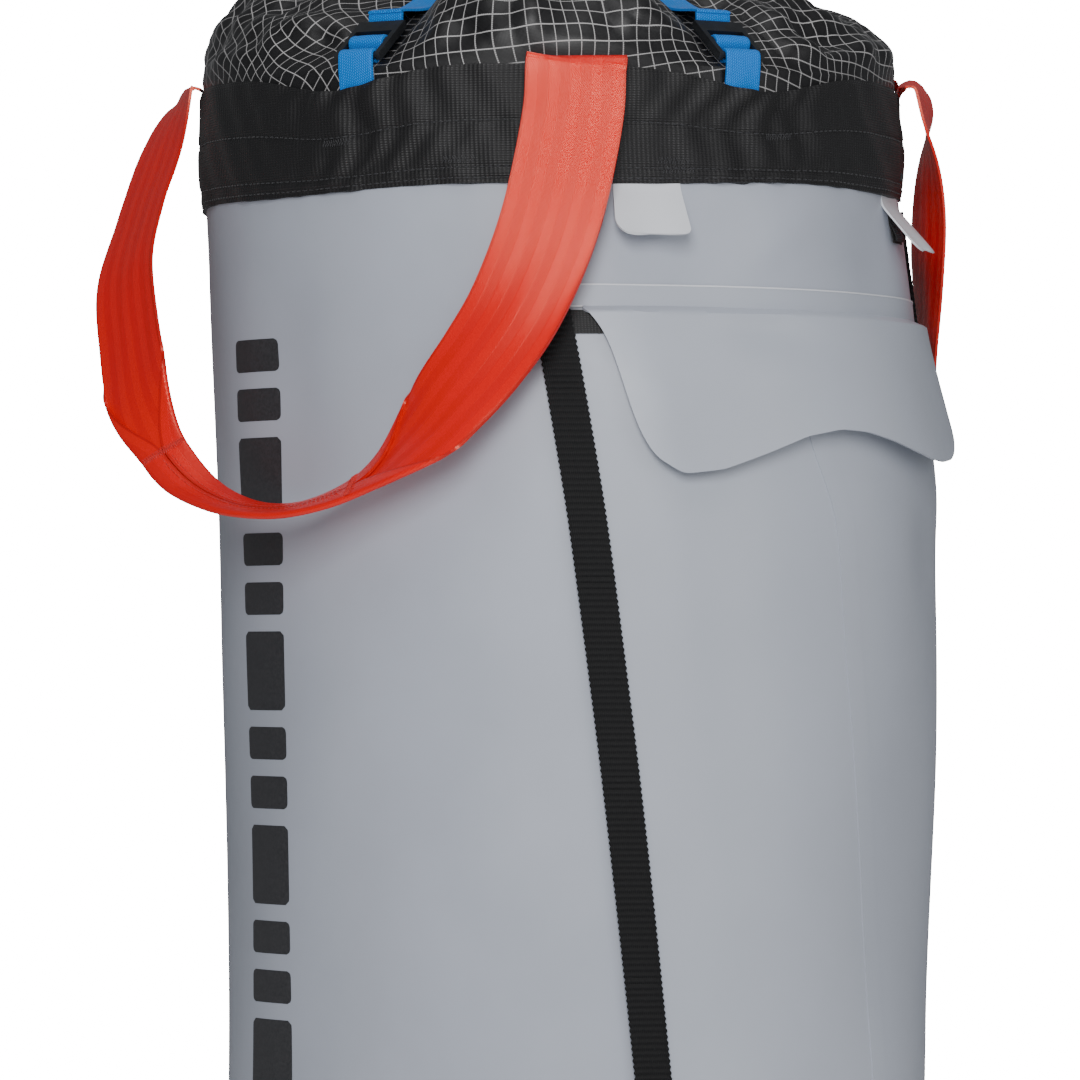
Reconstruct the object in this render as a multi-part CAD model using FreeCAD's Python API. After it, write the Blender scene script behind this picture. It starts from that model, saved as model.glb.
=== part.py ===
"""Haul bag: a tall round bag of coated fabric with a webbing collar, a gathered ripstop skirt, two crossed top
straps, two long haul loops and a harness sleeve closed by a flap. Millimetres, +Z up, origin at the centre of
the base. Angles round the bag are in degrees from -Y, the middle of the harness sleeve, and grow towards +X."""
import FreeCAD, Part
import math
import os

V = FreeCAD.Vector
Z_AXIS = V(0, 0, 1)

# ---- driving dimensions ----
BODY_R = 179.5            # outer radius of the body sheet
BODY_H = 678.0
SHEET = 1.5               # coated fabric, two layers
GAP = 0.3                 # between pieces that are only sewn or welded face to face
RIM_Z = 680.0             # top edge of the collar
COLLAR_H = 60.0
COLLAR_R = 184.0
COLLAR_T = 2.2
BASE_FLANGE_H = 25.0
BASE_TAPE_H = 30.0

RAIL_W = 19.0             # black rail webbing
RAIL_T = 1.6
RAIL_ANGLE = {-1: 50.5, 1: 48.4}        # left and right rail from the middle of the sleeve, at RAIL_Z
RAIL_Z = 590.0
RAIL_DRIFT = {-1: 0.0363, 1: 0.0167}    # degrees nearer to the middle per mm lower
SEAM_ANGLE = -1.5         # the sleeve's long seam, at SEAM_Z
SEAM_Z = 500.0
SEAM_DRIFT = 0.0275

MOUTH_Z = 557.0           # mouth of the sleeve
BINDING_H = 10.0
SLEEVE_T = 1.4
SLEEVE_EDGE = 1.4         # the sleeve's edge lies this far past the middle of the rail, in degrees
SLEEVE_FOOT = -3.4        # where the sleeve starts to rise off the body
SLEEVE_CROWN = -8.4       # where it reaches its full radius
SLEEVE_PROFILE = [(24, 183.0), (70, 187.0), (150, 189.4), (260, 189.4), (370, 189.4), (500, 189.4),
                  (530, 186.4), (MOUTH_Z, 183.2)]
SEAM_W = 13.0

STRIP_Z = 559.5           # weld strip that holds the flap
STRIP_H = 12.0
FLAP_T = 1.2
FLAP_Z = 558.8
FLAP_TOP_R = 184.9
FLAP_HEM_R = 195.0
FLAP_HEM_Z = 477.0
# half of the flap's outline from its top corner to its middle: along the arc, and down from the top edge
FLAP_OUTLINE = [(137, 0), (130, 8), (124, 24), (119, 46), (113, 64), (103, 76), (90, 81), (74, 80),
                (52, 72), (32, 63.5), (14, 59), (0, 58)]

SKIRT_T = 0.8
GORE_ANGLE = 15.0         # about this much in each gore
DIP_HALF = 4.6            # the skirt is flat under a strap for this much each side
SKIRT_R = BODY_R + 1.0
SKIRT_BAND_Z = 655.0      # the skirt is sewn in between the body and the collar from here up
# outside of the skirt under a top strap, and midway between two straps, where it swells: (radius, z)
SKIRT_DIP = [(SKIRT_R, 681), (177.5, 682.2), (172, 685.8), (163, 692.3), (153, 699.5), (128, 713), (96, 724.5),
             (58, 733), (30, 738), (15.5, 741)]
SKIRT_SWELL = [(SKIRT_R, 681), (181.5, 689), (180, 700), (175.5, 711), (166, 721), (150, 729.5), (122, 737),
               (84, 742), (44, 743), (15.5, 741)]
HEM_R = 15.5              # gathered hem of the skirt
HEM_T = 6.4
HEM_Z = 744.4

GUARD_ANGLES = {"left": -32.5, "right": 26.5}   # strap guards, from the middle of the sleeve
GUARD_ROOT_W = 31.0
GUARD_TIP_W = 38.0
GUARD_L = 35.0
GUARD_T = 1.2
GUARD_TILT = 43.0         # it stands off the bag by this much
GUARD_CORNER = 9.0

HAUL_W = 50.0             # seat-belt webbing
HAUL_T = 1.5
HAUL_BACK = 43.3          # where each loop is sewn in, nearer the sleeve
HAUL_FRONT = 135.0        # and on the other side of the bag
HAUL_TAIL_T = 1.0
GRIP_W = 26.0             # the loop's middle is folded to half its width
GRIP_T = 4.0

TOP_STRAP_W = 20.0        # blue webbing
TOP_STRAP_T = 1.2
SIDE_STRAP_ANGLE = -79.5
BACK_STRAP_ANGLE = -15.5
LOCK_BAR_R = 1.6          # ladder lock
LOCK_L = 27.0
LOCK_W = 27.0
LOCK_T = 4.2
LOCK_SLOT_W = 21.4

parts = {}


def polar(r, angle, z=0.0):
    a = math.radians(angle)
    return V(r * math.sin(a), -r * math.cos(a), z)


def rail_angle(side, z):
    """Where a rail's middle runs: side is -1 for the left one and 1 for the right one."""
    return side * (RAIL_ANGLE[side] - RAIL_DRIFT[side] * (RAIL_Z - z))


def sleeve_mid(z):
    return (rail_angle(1, z) + rail_angle(-1, z)) / 2


def sleeve_half(z):
    return (rail_angle(1, z) - rail_angle(-1, z)) / 2


def seam_angle(z):
    return SEAM_ANGLE + SEAM_DRIFT * (SEAM_Z - z)


def arc(r, a0, a1, z):
    return Part.Arc(polar(r, a0, z), polar(r, (a0 + a1) / 2, z), polar(r, a1, z)).toShape()


def line(a, b):
    return Part.LineSegment(a, b).toShape()


def ring(r_out, r_in, z0, height):
    """A tube about the bag's axis."""
    base = V(0, 0, z0)
    return Part.makeCylinder(r_out, height, base).cut(Part.makeCylinder(r_in, height, base))


def sector_wire(z, mid, half, r_in, r_out):
    a0, a1 = mid - half, mid + half
    return Part.Wire([arc(r_out, a0, a1, z), line(polar(r_out, a1, z), polar(r_in, a1, z)),
                      arc(r_in, a1, a0, z), line(polar(r_in, a0, z), polar(r_out, a0, z))])


def sector(z0, z1, mid, half, r_in, r_out):
    """A curved patch of constant height, lying round the bag."""
    return Part.Face(sector_wire(z0, mid, half, r_in, r_out)).extrude(V(0, 0, z1 - z0))


def half_angle(width, r):
    return math.degrees(width / 2 / r)


def levels(z0, z1, count):
    return [z0 + (z1 - z0) * i / (count - 1) for i in range(count)]


def at(value, z):
    """A number, or what a function of z gives."""
    return value(z) if callable(value) else value


def draped(z0, z1, mid, half, r_in, r_out, count=7):
    """A curved patch whose angles and radii may change as it goes down."""
    wires = [sector_wire(z, at(mid, z), at(half, z), at(r_in, z), at(r_out, z)) for z in levels(z0, z1, count)]
    return Part.makeLoft(wires, True, False)


def between(table, x):
    """Straight-line reading of a table of (x, value)."""
    if x <= table[0][0]:
        return table[0][1]
    for (x0, v0), (x1, v1) in zip(table, table[1:]):
        if x <= x1:
            return v0 + (v1 - v0) * (x - x0) / (x1 - x0)
    return table[-1][1]


def sleeve_r(z):
    return between(SLEEVE_PROFILE, z)


def mirrored(shape):
    """The same shape on the other side of the sleeve's middle plane."""
    return shape.mirror(V(0, 0, 0), V(1, 0, 0))


# ---- body, base and collar ----
def make_body():
    parts["body_shell"] = ring(BODY_R, BODY_R - SHEET, 0, BODY_H)
    floor_r = BODY_R - SHEET - GAP / 2
    cup = Part.makeCylinder(floor_r, BASE_FLANGE_H)
    hollow = Part.makeCylinder(floor_r - SHEET, BASE_FLANGE_H, V(0, 0, 2.0))
    parts["base_panel"] = cup.cut(hollow)
    tape_in = BODY_R + GAP / 2
    parts["base_seam_tape"] = ring(tape_in + 1.1, tape_in, 2, BASE_TAPE_H - 9)
    parts["body_seam_tape"] = sector(BASE_TAPE_H, RIM_Z - COLLAR_H - 1, 158, 5, BODY_R + 0.2, BODY_R + 0.9)


def make_collar():
    bottom = RIM_Z - COLLAR_H
    parts["collar_webbing"] = ring(COLLAR_R, COLLAR_R - COLLAR_T, bottom, COLLAR_H)
    lining_r = BODY_R - SHEET - GAP
    parts["collar_lining"] = ring(lining_r, lining_r - 1.4, bottom + 2, COLLAR_H - 3)


# ---- skirt ----
def offset(points, distance):
    """Points of a profile in the XZ plane, moved away from the bag along their normals."""
    moved = []
    for i, (r, z) in enumerate(points):
        r0, z0 = points[max(0, i - 1)]
        r1, z1 = points[min(len(points) - 1, i + 1)]
        run = math.hypot(r1 - r0, z1 - z0)
        moved.append((r + distance * (z1 - z0) / run, z - distance * (r1 - r0) / run))
    return moved


def smooth(points):
    """One smooth edge through points of the XZ plane."""
    curve = Part.BSplineCurve()
    curve.interpolate([V(x, 0, z) for x, z in points])
    return curve.toShape()


def skirt_wire(angle, swell):
    """Closed outline of the skirt's free sheet in the radial plane at this angle."""
    outside = [(a[0] + (b[0] - a[0]) * swell, a[1] + (b[1] - a[1]) * swell)
               for a, b in zip(SKIRT_DIP, SKIRT_SWELL)]
    inside = offset(outside, -SKIRT_T)
    inside[0] = (SKIRT_R - SKIRT_T, outside[0][1])
    corners = [polar(r, angle, z) for r, z in outside + inside[::-1]]
    return Part.makePolygon(corners + corners[:1])


def make_skirt():
    straps = [SIDE_STRAP_ANGLE, BACK_STRAP_ANGLE, SIDE_STRAP_ANGLE + 180, BACK_STRAP_ANGLE + 180,
              SIDE_STRAP_ANGLE + 360]
    outlines = []
    for a0, a1 in zip(straps, straps[1:]):
        count = round((a1 - a0) / GORE_ANGLE)
        free = a1 - a0 - 2 * DIP_HALF
        for i in range(count + 1):
            outlines.append((a0 + DIP_HALF + free * i / count, math.sin(math.pi * i / count)))
    outlines.append((outlines[0][0] + 360, 0.0))
    parts["skirt_band"] = ring(SKIRT_R, SKIRT_R - SKIRT_T, SKIRT_BAND_Z, SKIRT_DIP[0][1] - SKIRT_BAND_Z)
    pieces = []
    for (a0, swell0), (a1, swell1) in zip(outlines, outlines[1:]):
        pieces.append(Part.makeLoft([skirt_wire(a0, swell0), skirt_wire(a1, swell1)], True, True))
    parts["skirt"] = Part.makeCompound(pieces)
    parts["skirt_hem"] = Part.makeTorus(HEM_R, HEM_T / 2, V(0, 0, HEM_Z), Z_AXIS)
    eyelets = []
    for side in (-1, 1):
        centre = V(HEM_R + HEM_T / 2 + 0.4, side * 4.0, HEM_Z)
        disc = Part.makeCylinder(2.3, 1.0, centre, V(1, 0, 0))
        eyelets.append(disc.cut(Part.makeCylinder(1.4, 1.0, centre, V(1, 0, 0))))
    parts["drawcord_eyelets"] = Part.makeCompound(eyelets)


# ---- harness sleeve, rails and what is stowed in the sleeve ----
def sleeve_wire(z):
    mid = sleeve_mid(z)
    edge = sleeve_half(z) + SLEEVE_EDGE
    foot = sleeve_half(z) + SLEEVE_FOOT
    crown = sleeve_half(z) + SLEEVE_CROWN
    r1 = sleeve_r(z)
    r0 = r1 - SLEEVE_T
    low_out = BODY_R + GAP + SLEEVE_T
    low_in = BODY_R + GAP

    def p(r, a):
        return polar(r, mid + a, z)
    corners_out = [p(low_out, -edge), p(low_out, -foot), p(r1, -crown)]
    corners_in = [p(r0, 0.3 - crown), p(low_in, 0.3 - foot), p(low_in, -edge)]
    right_out = [p(r1, crown), p(low_out, foot), p(low_out, edge)]
    right_in = [p(low_in, edge), p(low_in, foot - 0.3), p(r0, crown - 0.3)]
    edges = [line(a, b) for a, b in zip(corners_out, corners_out[1:])]
    edges.append(Part.Arc(corners_out[-1], p(r1, 0), right_out[0]).toShape())
    edges += [line(a, b) for a, b in zip(right_out, right_out[1:])]
    edges.append(line(right_out[-1], right_in[0]))
    edges += [line(a, b) for a, b in zip(right_in, right_in[1:])]
    edges.append(Part.Arc(right_in[-1], p(r0, 0), corners_in[0]).toShape())
    edges += [line(a, b) for a, b in zip(corners_in, corners_in[1:])]
    edges.append(line(corners_in[-1], corners_out[0]))
    return Part.Wire(edges)


def make_sleeve():
    parts["sleeve_panel"] = Part.makeLoft([sleeve_wire(z) for z, _ in SLEEVE_PROFILE], True, True)
    top_r = sleeve_r(MOUTH_Z)
    parts["sleeve_mouth_binding"] = draped(MOUTH_Z - BINDING_H, MOUTH_Z, sleeve_mid,
                                           lambda z: sleeve_half(z) + SLEEVE_CROWN - 1,
                                           lambda z: sleeve_r(z) + 0.2, lambda z: sleeve_r(z) + 1.2, 2)
    seam = []
    for (z0, _), (z1, _) in zip(SLEEVE_PROFILE[:-2], SLEEVE_PROFILE[1:-1]):
        seam.append(draped(z0, z1, seam_angle, half_angle(SEAM_W, top_r), lambda z: sleeve_r(z) + 0.2,
                           lambda z: sleeve_r(z) + 0.7, 3))
    parts["sleeve_seam_strip"] = seam[0].multiFuse(seam[1:])
    rail_in = BODY_R + GAP + SLEEVE_T + 0.2
    for side, name in ((-1, "left"), (1, "right")):
        parts["rail_webbing_" + name] = draped(BASE_TAPE_H, RIM_Z - COLLAR_H - GAP,
                                               lambda z, s=side: rail_angle(s, z),
                                               half_angle(RAIL_W, rail_in), rail_in, rail_in + RAIL_T, 9)
    parts["flap_weld_strip"] = sector(STRIP_Z, STRIP_Z + STRIP_H, 0, 43.5, BODY_R + GAP, BODY_R + GAP + 1.2)


PAD_IN = BODY_R + 0.5
PAD_OUT = PAD_IN + 3.0
STOW_IN = PAD_OUT + 0.4
STOW_OUT = STOW_IN + 3.9


def make_harness():
    parts["back_pad"] = draped(80, 480, sleeve_mid, 25, PAD_IN, PAD_OUT)
    for side, name in ((-1, "left"), (1, "right")):
        parts["shoulder_strap_" + name] = draped(170, 480, lambda z, s=side: sleeve_mid(z) + s * 16, 8.5,
                                                 STOW_IN, STOW_OUT)
    parts["waistbelt"] = draped(95, 160, sleeve_mid, 24, STOW_IN, STOW_OUT - 1)
    parts["waistbelt_buckle_socket"] = draped(300, 328, sleeve_mid, 6.5, STOW_IN, STOW_OUT, 3)
    parts["waistbelt_buckle_plug"] = draped(328.5, 352, sleeve_mid, 5.5, STOW_IN, STOW_OUT, 3)
    for name, angle in GUARD_ANGLES.items():
        loop = sector(596, RIM_Z - COLLAR_H - GAP, angle, half_angle(20, BODY_R), BODY_R + 0.2, BODY_R + 1.6)
        fold = sector(596, RIM_Z - COLLAR_H - GAP, angle, half_angle(20, BODY_R), BODY_R + 2.2, BODY_R + 3.6)
        turn = sector(594.5, 596, angle, half_angle(20, BODY_R), BODY_R + 0.2, BODY_R + 3.6)
        parts["load_lifter_loop_" + name] = loop.multiFuse([fold, turn])


# ---- flap and strap guards ----
def make_flap():
    def cone(r_add):
        slope = (FLAP_HEM_R - FLAP_TOP_R) / (FLAP_Z - FLAP_HEM_Z)
        low = FLAP_HEM_Z - 8
        return Part.makeCone(FLAP_TOP_R + slope * (FLAP_Z - low) + r_add, FLAP_TOP_R + r_add, FLAP_Z - low,
                             V(0, 0, low))
    shell = cone(FLAP_T).cut(cone(0))

    def at(s, down):
        return V(FLAP_TOP_R * math.sin(s / FLAP_TOP_R), 0, FLAP_Z - down)
    right = [at(s, d) for s, d in FLAP_OUTLINE]
    left = [at(-s, d) for s, d in reversed(FLAP_OUTLINE[:-1])]
    hem = Part.BSplineCurve()
    hem.interpolate(right + left)
    top_right = V(right[0].x, 0, FLAP_Z + 5)
    top_left = V(left[-1].x, 0, FLAP_Z + 5)
    outline = Part.Wire([hem.toShape(), line(left[-1], top_left), line(top_left, top_right),
                         line(top_right, right[0])])
    cutter = Part.Face(outline).extrude(V(0, -260, 0))
    flap = shell.common(cutter)
    parts["flap"] = flap


def make_guards():
    root, tip = GUARD_ROOT_W / 2, GUARD_TIP_W / 2
    c = GUARD_CORNER
    k = c * (1 - math.sqrt(0.5))
    edges = [line(V(-root, 0, 0), V(root, 0, 0)),
             line(V(root, 0, 0), V(tip - 1, 0, -(GUARD_L - c))),
             Part.Arc(V(tip - 1, 0, -(GUARD_L - c)), V(tip - k, 0, -(GUARD_L - k)),
                      V(tip - c, 0, -GUARD_L)).toShape(),
             line(V(tip - c, 0, -GUARD_L), V(c - tip, 0, -GUARD_L)),
             Part.Arc(V(c - tip, 0, -GUARD_L), V(k - tip, 0, -(GUARD_L - k)),
                      V(1 - tip, 0, -(GUARD_L - c))).toShape(),
             line(V(1 - tip, 0, -(GUARD_L - c)), V(-root, 0, 0))]
    flat = Part.Face(Part.Wire(edges)).extrude(V(0, -GUARD_T, 0))
    flat.rotate(V(0, 0, 0), V(1, 0, 0), -GUARD_TILT)
    for name, angle in GUARD_ANGLES.items():
        guard = flat.copy()
        guard.translate(V(0, -(BODY_R + 6.5), RIM_Z - COLLAR_H - 2.0))
        guard.rotate(V(0, 0, 0), Z_AXIS, angle)
        parts["strap_guard_" + name] = guard


# ---- webbing that leaves the bag: a ribbon lofted along a smooth path ----
def ribbon(path, turns, widths, thicks, first, last, count):
    """path: points; turns, widths, thicks: tables over the path's share, 0 to 1. The ribbon's face looks away
    from the bag's axis and is turned about the path by turns, in degrees. It runs from first mm along the path
    to last mm before its end."""
    curve = Part.BSplineCurve()
    curve.interpolate(path)
    total = curve.length()
    wires = []
    for i in range(count):
        share = (first + (total - first - last) * i / (count - 1)) / total
        u = curve.parameterAtDistance(total * share, curve.FirstParameter)
        centre = curve.value(u)
        along = curve.tangent(u)[0]
        out = V(centre.x, centre.y, 0).normalize()
        normal = (out - along * out.dot(along))
        if normal.Length < 0.15:
            normal = Z_AXIS - along * along.z
        normal.normalize()
        side = along.cross(normal)
        turn = math.radians(between(turns, share))
        face = normal * math.cos(turn) + side * math.sin(turn)
        across = face.cross(along) * (between(widths, share) / 2)
        deep = face * (between(thicks, share) / 2)
        corners = [centre + across + deep, centre - across + deep, centre - across - deep,
                   centre + across - deep]
        wires.append(Part.makePolygon(corners + corners[:1]))
    strip = Part.makeLoft(wires, True, True)
    if strip.Volume < 0:
        strip.reverse()
    return strip


def band(points, thickness, width, steps=60):
    """A strip of webbing that follows a smooth line in the XZ plane, as wide as given across Y."""
    curve = Part.BSplineCurve()
    curve.interpolate([V(x, 0, z) for x, z in points])
    total = curve.length()
    centre = [curve.value(curve.parameterAtDistance(total * i / steps, curve.FirstParameter))
              for i in range(steps + 1)]
    flat = [(p.x, p.z) for p in centre]
    upper, lower = offset(flat, thickness / 2), offset(flat, -thickness / 2)
    ends = [V(x, 0, z) for x, z in (upper[0], upper[-1], lower[0], lower[-1])]
    outline = Part.Wire([smooth(upper), line(ends[1], ends[3]), smooth(lower[::-1]), line(ends[2], ends[0])])
    strip = Part.Face(outline).extrude(V(0, width, 0))
    strip.translate(V(0, -width / 2, 0))
    return strip


# the left haul loop from its sewn end by the sleeve to the one across the bag: (angle, radius, z)
HAUL_ROUTE = [(-43.3, 181.6, 682.3), (-43.3, 185.2, 683.4), (-43.4, 188.8, 681.8), (-43.6, 190.4, 677.5),
              (-44, 190.9, 655), (-46.2, 194, 617), (-48.8, 197, 587), (-52.6, 198.5, 557), (-57, 198.5, 534),
              (-61.6, 198.5, 515), (-66, 198.5, 498.6), (-72, 200, 481), (-78, 201.5, 469.5),
              (-86, 203, 462), (-94, 204, 461.5), (-102, 204.5, 466.5), (-110, 208, 477.5),
              (-117.2, 215, 499), (-122.6, 222, 526), (-126.2, 224.5, 558), (-129, 224.5, 590),
              (-131.3, 216.5, 618.6), (-132.6, 209, 637), (-134, 199.5, 659), (-134.7, 192.0, 676),
              (-135, 188.8, 681.8), (-135, 185.2, 683.4), (-135, 181.6, 682.3)]
HAUL_TURN = [(0, 0), (0.33, 0), (0.42, 20), (0.5, 58), (0.58, 68), (0.68, 52), (0.8, 42), (0.92, 12), (1, 0)]
HAUL_WIDTH = [(0, HAUL_W), (0.37, HAUL_W), (0.43, GRIP_W), (0.6, GRIP_W), (0.66, HAUL_W), (1, HAUL_W)]
HAUL_THICK = [(0, HAUL_T), (0.37, HAUL_T), (0.43, GRIP_T), (0.6, GRIP_T), (0.66, HAUL_T), (1, HAUL_T)]
HAUL_END_POINTS = 5       # this many points at each end lie over the rim and don't swing
HAUL_SWING = 43.5         # the loop swings from this far along it


def make_haul_loops():
    route = [polar(r, a, z) for a, r, z in HAUL_ROUTE]
    left = ribbon(route, HAUL_TURN, HAUL_WIDTH, HAUL_THICK, HAUL_SWING, HAUL_SWING, 44)
    parts["haul_loop_left"] = left
    parts["haul_loop_right"] = mirrored(left)
    tail_in = SKIRT_R + 0.1
    for angle, end, path in ((HAUL_BACK, "back", HAUL_ROUTE), (HAUL_FRONT, "front", HAUL_ROUTE[::-1])):
        fold = band([(r, z) for a, r, z in path[:HAUL_END_POINTS]], HAUL_T, HAUL_W)
        fold.rotate(V(0, 0, 0), Z_AXIS, -angle - 90)
        tail = sector(626, 680.8, -angle, half_angle(HAUL_W, tail_in), tail_in, tail_in + HAUL_TAIL_T)
        both = Part.makeCompound([fold, tail])
        parts["haul_end_" + end + "_left"] = both
        parts["haul_end_" + end + "_right"] = mirrored(both)


# ---- crossed top straps with their ladder locks, drawn in the plane of the bag's axis: x is the radius ----
LOCK_PIVOT = (180.0, 687.0)       # radius and height of the ladder lock's lower bar
LOCK_SLOPE = 38.0                 # the lock lies on the skirt at this angle above level


def lock_point(along, off):
    """A point in the lock's plane: along it from the lower bar, and off its face."""
    a = math.radians(LOCK_SLOPE)
    return (LOCK_PIVOT[0] - along * math.cos(a) + off * math.sin(a),
            LOCK_PIVOT[1] + along * math.sin(a) + off * math.cos(a))


def make_lock():
    """Ladder lock, lying along +X from its lower bar at the origin, then set on the skirt."""
    frame = Part.makeBox(LOCK_L + 3.2, LOCK_W, LOCK_T, V(-1.6, -LOCK_W / 2, -LOCK_T / 2))
    slot = LOCK_SLOT_W
    windows = [(1.6, 10.4), (13.6, 19.4)]
    for x0, x1 in windows:
        frame = frame.cut(Part.makeBox(x1 - x0, slot, LOCK_T, V(x0, -slot / 2, -LOCK_T / 2)))
    frame = frame.cut(Part.makeBox(4, slot, LOCK_T, V(-2.4, -slot / 2, -LOCK_T / 2)))
    bar = Part.makeCylinder(LOCK_BAR_R, LOCK_W - 2, V(0, -LOCK_W / 2 + 1, 0), V(0, 1, 0))
    lip = Part.makeCylinder(1.4, slot + 2, V(LOCK_L, -slot / 2 - 1, 0.6), V(0, 1, 0))
    lock = frame.multiFuse([bar, lip]).removeSplitter()
    lock.rotate(V(0, 0, 0), V(0, 1, 0), -LOCK_SLOPE)
    lock = lock.mirror(V(0, 0, 0), V(1, 0, 0))
    lock.translate(V(LOCK_PIVOT[0], 0, LOCK_PIVOT[1]))
    return lock


def make_stub():
    """Sewn end of the strap: up from the collar, round the lock's lower bar and back down."""
    px, pz = LOCK_PIVOT
    ring_mid = LOCK_BAR_R + 0.9 + TOP_STRAP_T / 2
    top = []
    for i in range(7):
        t = math.radians(-8) + math.radians(196) * i / 6
        top.append((px + ring_mid * math.cos(t), pz + ring_mid * math.sin(t)))
    outer_leg = [(182.9, 681.6), (183.2, 683.0), (px + ring_mid + 0.1, pz - 2.6)]
    inner_leg = [(px - ring_mid + 0.5, pz - 2.2)]
    return band(outer_leg + top + inner_leg, TOP_STRAP_T, TOP_STRAP_W)


def make_top_strap(angle, name, lift):
    lock = make_lock()
    stub = make_stub()
    # up through the first window, over the middle bar, down the second and out under the plate
    weave = band([lock_point(8.4, -3.0), lock_point(8.1, -0.6), lock_point(9.6, 2.4), lock_point(12.0, 3.2),
                  lock_point(14.4, 2.4), lock_point(16.5, 0.0), lock_point(18.5, -2.5), lock_point(22.0, -3.3),
                  lock_point(26.0, -3.3), lock_point(29.5, -2.2), lock_point(31.0, 0.8), lock_point(31.6, 3.6)],
                 TOP_STRAP_T, TOP_STRAP_W)
    line_over = offset(SKIRT_DIP, 2.0)
    near = [(r, z + rise) for (r, z), rise in zip(line_over[5:8], (0.6, 3.0, 7.0))]
    over = [(40.0, HEM_Z + 2.0 + lift / 2), (22.0, HEM_Z + 4.3 + lift), (0.0, HEM_Z + 4.9 + lift)]
    far = [(-x, z) for x, z in (near + over[:2])[::-1]]
    down = [(-x, z) for x, z in line_over[4:0:-1]]
    run = band([lock_point(32.6, 3.7)] + near + over + far + down + [(-182.9, 682.2)], TOP_STRAP_T,
               TOP_STRAP_W, 140)
    tail_half = half_angle(TOP_STRAP_W, SKIRT_R)
    for piece in (lock, stub, weave, run):
        piece.rotate(V(0, 0, 0), Z_AXIS, angle - 90)
    parts[name + "_ladder_lock"] = lock
    parts[name + "_strap_stub"] = stub
    parts[name + "_strap_weave"] = weave
    parts[name + "_strap"] = run
    tails = [sector(632, 680.8, a, tail_half, SKIRT_R + 0.1, SKIRT_R + 1.1) for a in (angle, angle + 180)]
    parts[name + "_strap_tails"] = Part.makeCompound(tails)


def main():
    make_body()
    make_collar()
    make_skirt()
    make_sleeve()
    make_harness()
    make_flap()
    make_guards()
    make_haul_loops()
    make_top_strap(SIDE_STRAP_ANGLE, "side", 0.0)
    make_top_strap(BACK_STRAP_ANGLE, "back", 2.6)
    os.makedirs("parts", exist_ok=True)
    for name, shape in parts.items():
        if not shape.isValid():
            print("not valid:", name)
        shape.exportStep("parts/" + name + ".step")
        print(name, len(shape.Solids), round(shape.Volume / 1000, 2), "cm3")


main()
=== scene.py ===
"""Looks of the haul bag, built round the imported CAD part. Metres, +Z up, origin at the centre of the base.
Angles round the bag are in degrees from -Y, the middle of the harness sleeve, and grow towards +X."""
import math
import bpy
import numpy as np
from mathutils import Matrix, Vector


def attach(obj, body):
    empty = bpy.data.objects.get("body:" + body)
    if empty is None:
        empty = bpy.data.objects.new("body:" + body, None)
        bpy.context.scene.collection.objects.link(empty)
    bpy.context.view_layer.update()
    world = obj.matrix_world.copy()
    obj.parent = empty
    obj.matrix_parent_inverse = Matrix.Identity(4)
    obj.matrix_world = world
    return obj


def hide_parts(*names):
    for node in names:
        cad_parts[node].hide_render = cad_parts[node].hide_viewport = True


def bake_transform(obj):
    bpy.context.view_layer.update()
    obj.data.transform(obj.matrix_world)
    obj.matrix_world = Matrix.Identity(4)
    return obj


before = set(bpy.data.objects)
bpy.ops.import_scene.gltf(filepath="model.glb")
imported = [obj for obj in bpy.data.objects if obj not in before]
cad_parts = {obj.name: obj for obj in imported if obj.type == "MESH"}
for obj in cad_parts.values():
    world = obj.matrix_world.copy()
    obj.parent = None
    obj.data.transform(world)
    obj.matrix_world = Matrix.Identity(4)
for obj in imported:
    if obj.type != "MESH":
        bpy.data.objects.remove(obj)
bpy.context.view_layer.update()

MM = 0.001
VIEW_AZIMUTH = -47.5
CAMERA_DISTANCE = 3.4
CAMERA_HEIGHT = 0.385
CAMERA_ASIDE = -0.0047
CAMERA_PITCH = 1.057
LENS = 216.8
a = math.radians(VIEW_AZIMUTH)
RIGHT = np.array((math.cos(a), math.sin(a), 0.0))
FORWARD = np.array((-math.sin(a), math.cos(a), 0.0))
UP = np.array((0.0, 0.0, 1.0))


# ---- shape of the filled bag
def smoothed(values, reach, spread):
    """The values blurred over their neighbours up to reach steps away; the end values carry on past the ends."""
    weight = np.exp(-0.5 * (np.arange(-reach, reach + 1) / spread) ** 2)
    return np.convolve(np.pad(values, reach, mode="edge"), weight / weight.sum(), mode="valid")


def smooth_table(rows):
    """A smooth reading of (z, value) rows in millimetres, as a function of z in metres."""
    z = np.arange(-0.1, 0.9, 0.002)
    heights, values = np.array(rows).T * MM
    v = smoothed(np.interp(z, heights, values), 30, 8)
    return lambda q: np.interp(q, z, v)


RADIUS = smooth_table([(0, 179.0), (60, 179.0), (207, 179.6), (270, 181.4), (333, 183.3), (395, 184.8), (458, 185.4),
                       (530, 184.0), (600, 181.6), (640, 180.6), (700, 180.6)])
LEAN = smooth_table([(0, 6), (80, 10), (165, 13.5), (333, 14), (395, 13.3), (458, 12.5), (530, 8.9), (600, 3.6),
                     (640, 0), (700, 0)])
RAIL_W = 19 * MM
MEAN_R = 0.184
SKIRT_R = 0.165
COLLAR_HEM = 0.6205


def rail_angle(side, z):
    start, drift = (50.5, 0.0363) if side < 0 else (48.4, 0.0167)
    return side * (start - drift * (590 - z / MM))


def bump(x, centre, width):
    return np.exp(-((x - centre) / width) ** 2)


DENT_WAVES = [(0.55, 3, 9.0, 0.4), (0.45, 5, -14.0, 1.9), (0.35, 8, 21.0, 3.1), (0.30, 2, -31.0, 5.0),
              (0.22, 11, -17.0, 0.9)]
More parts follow.
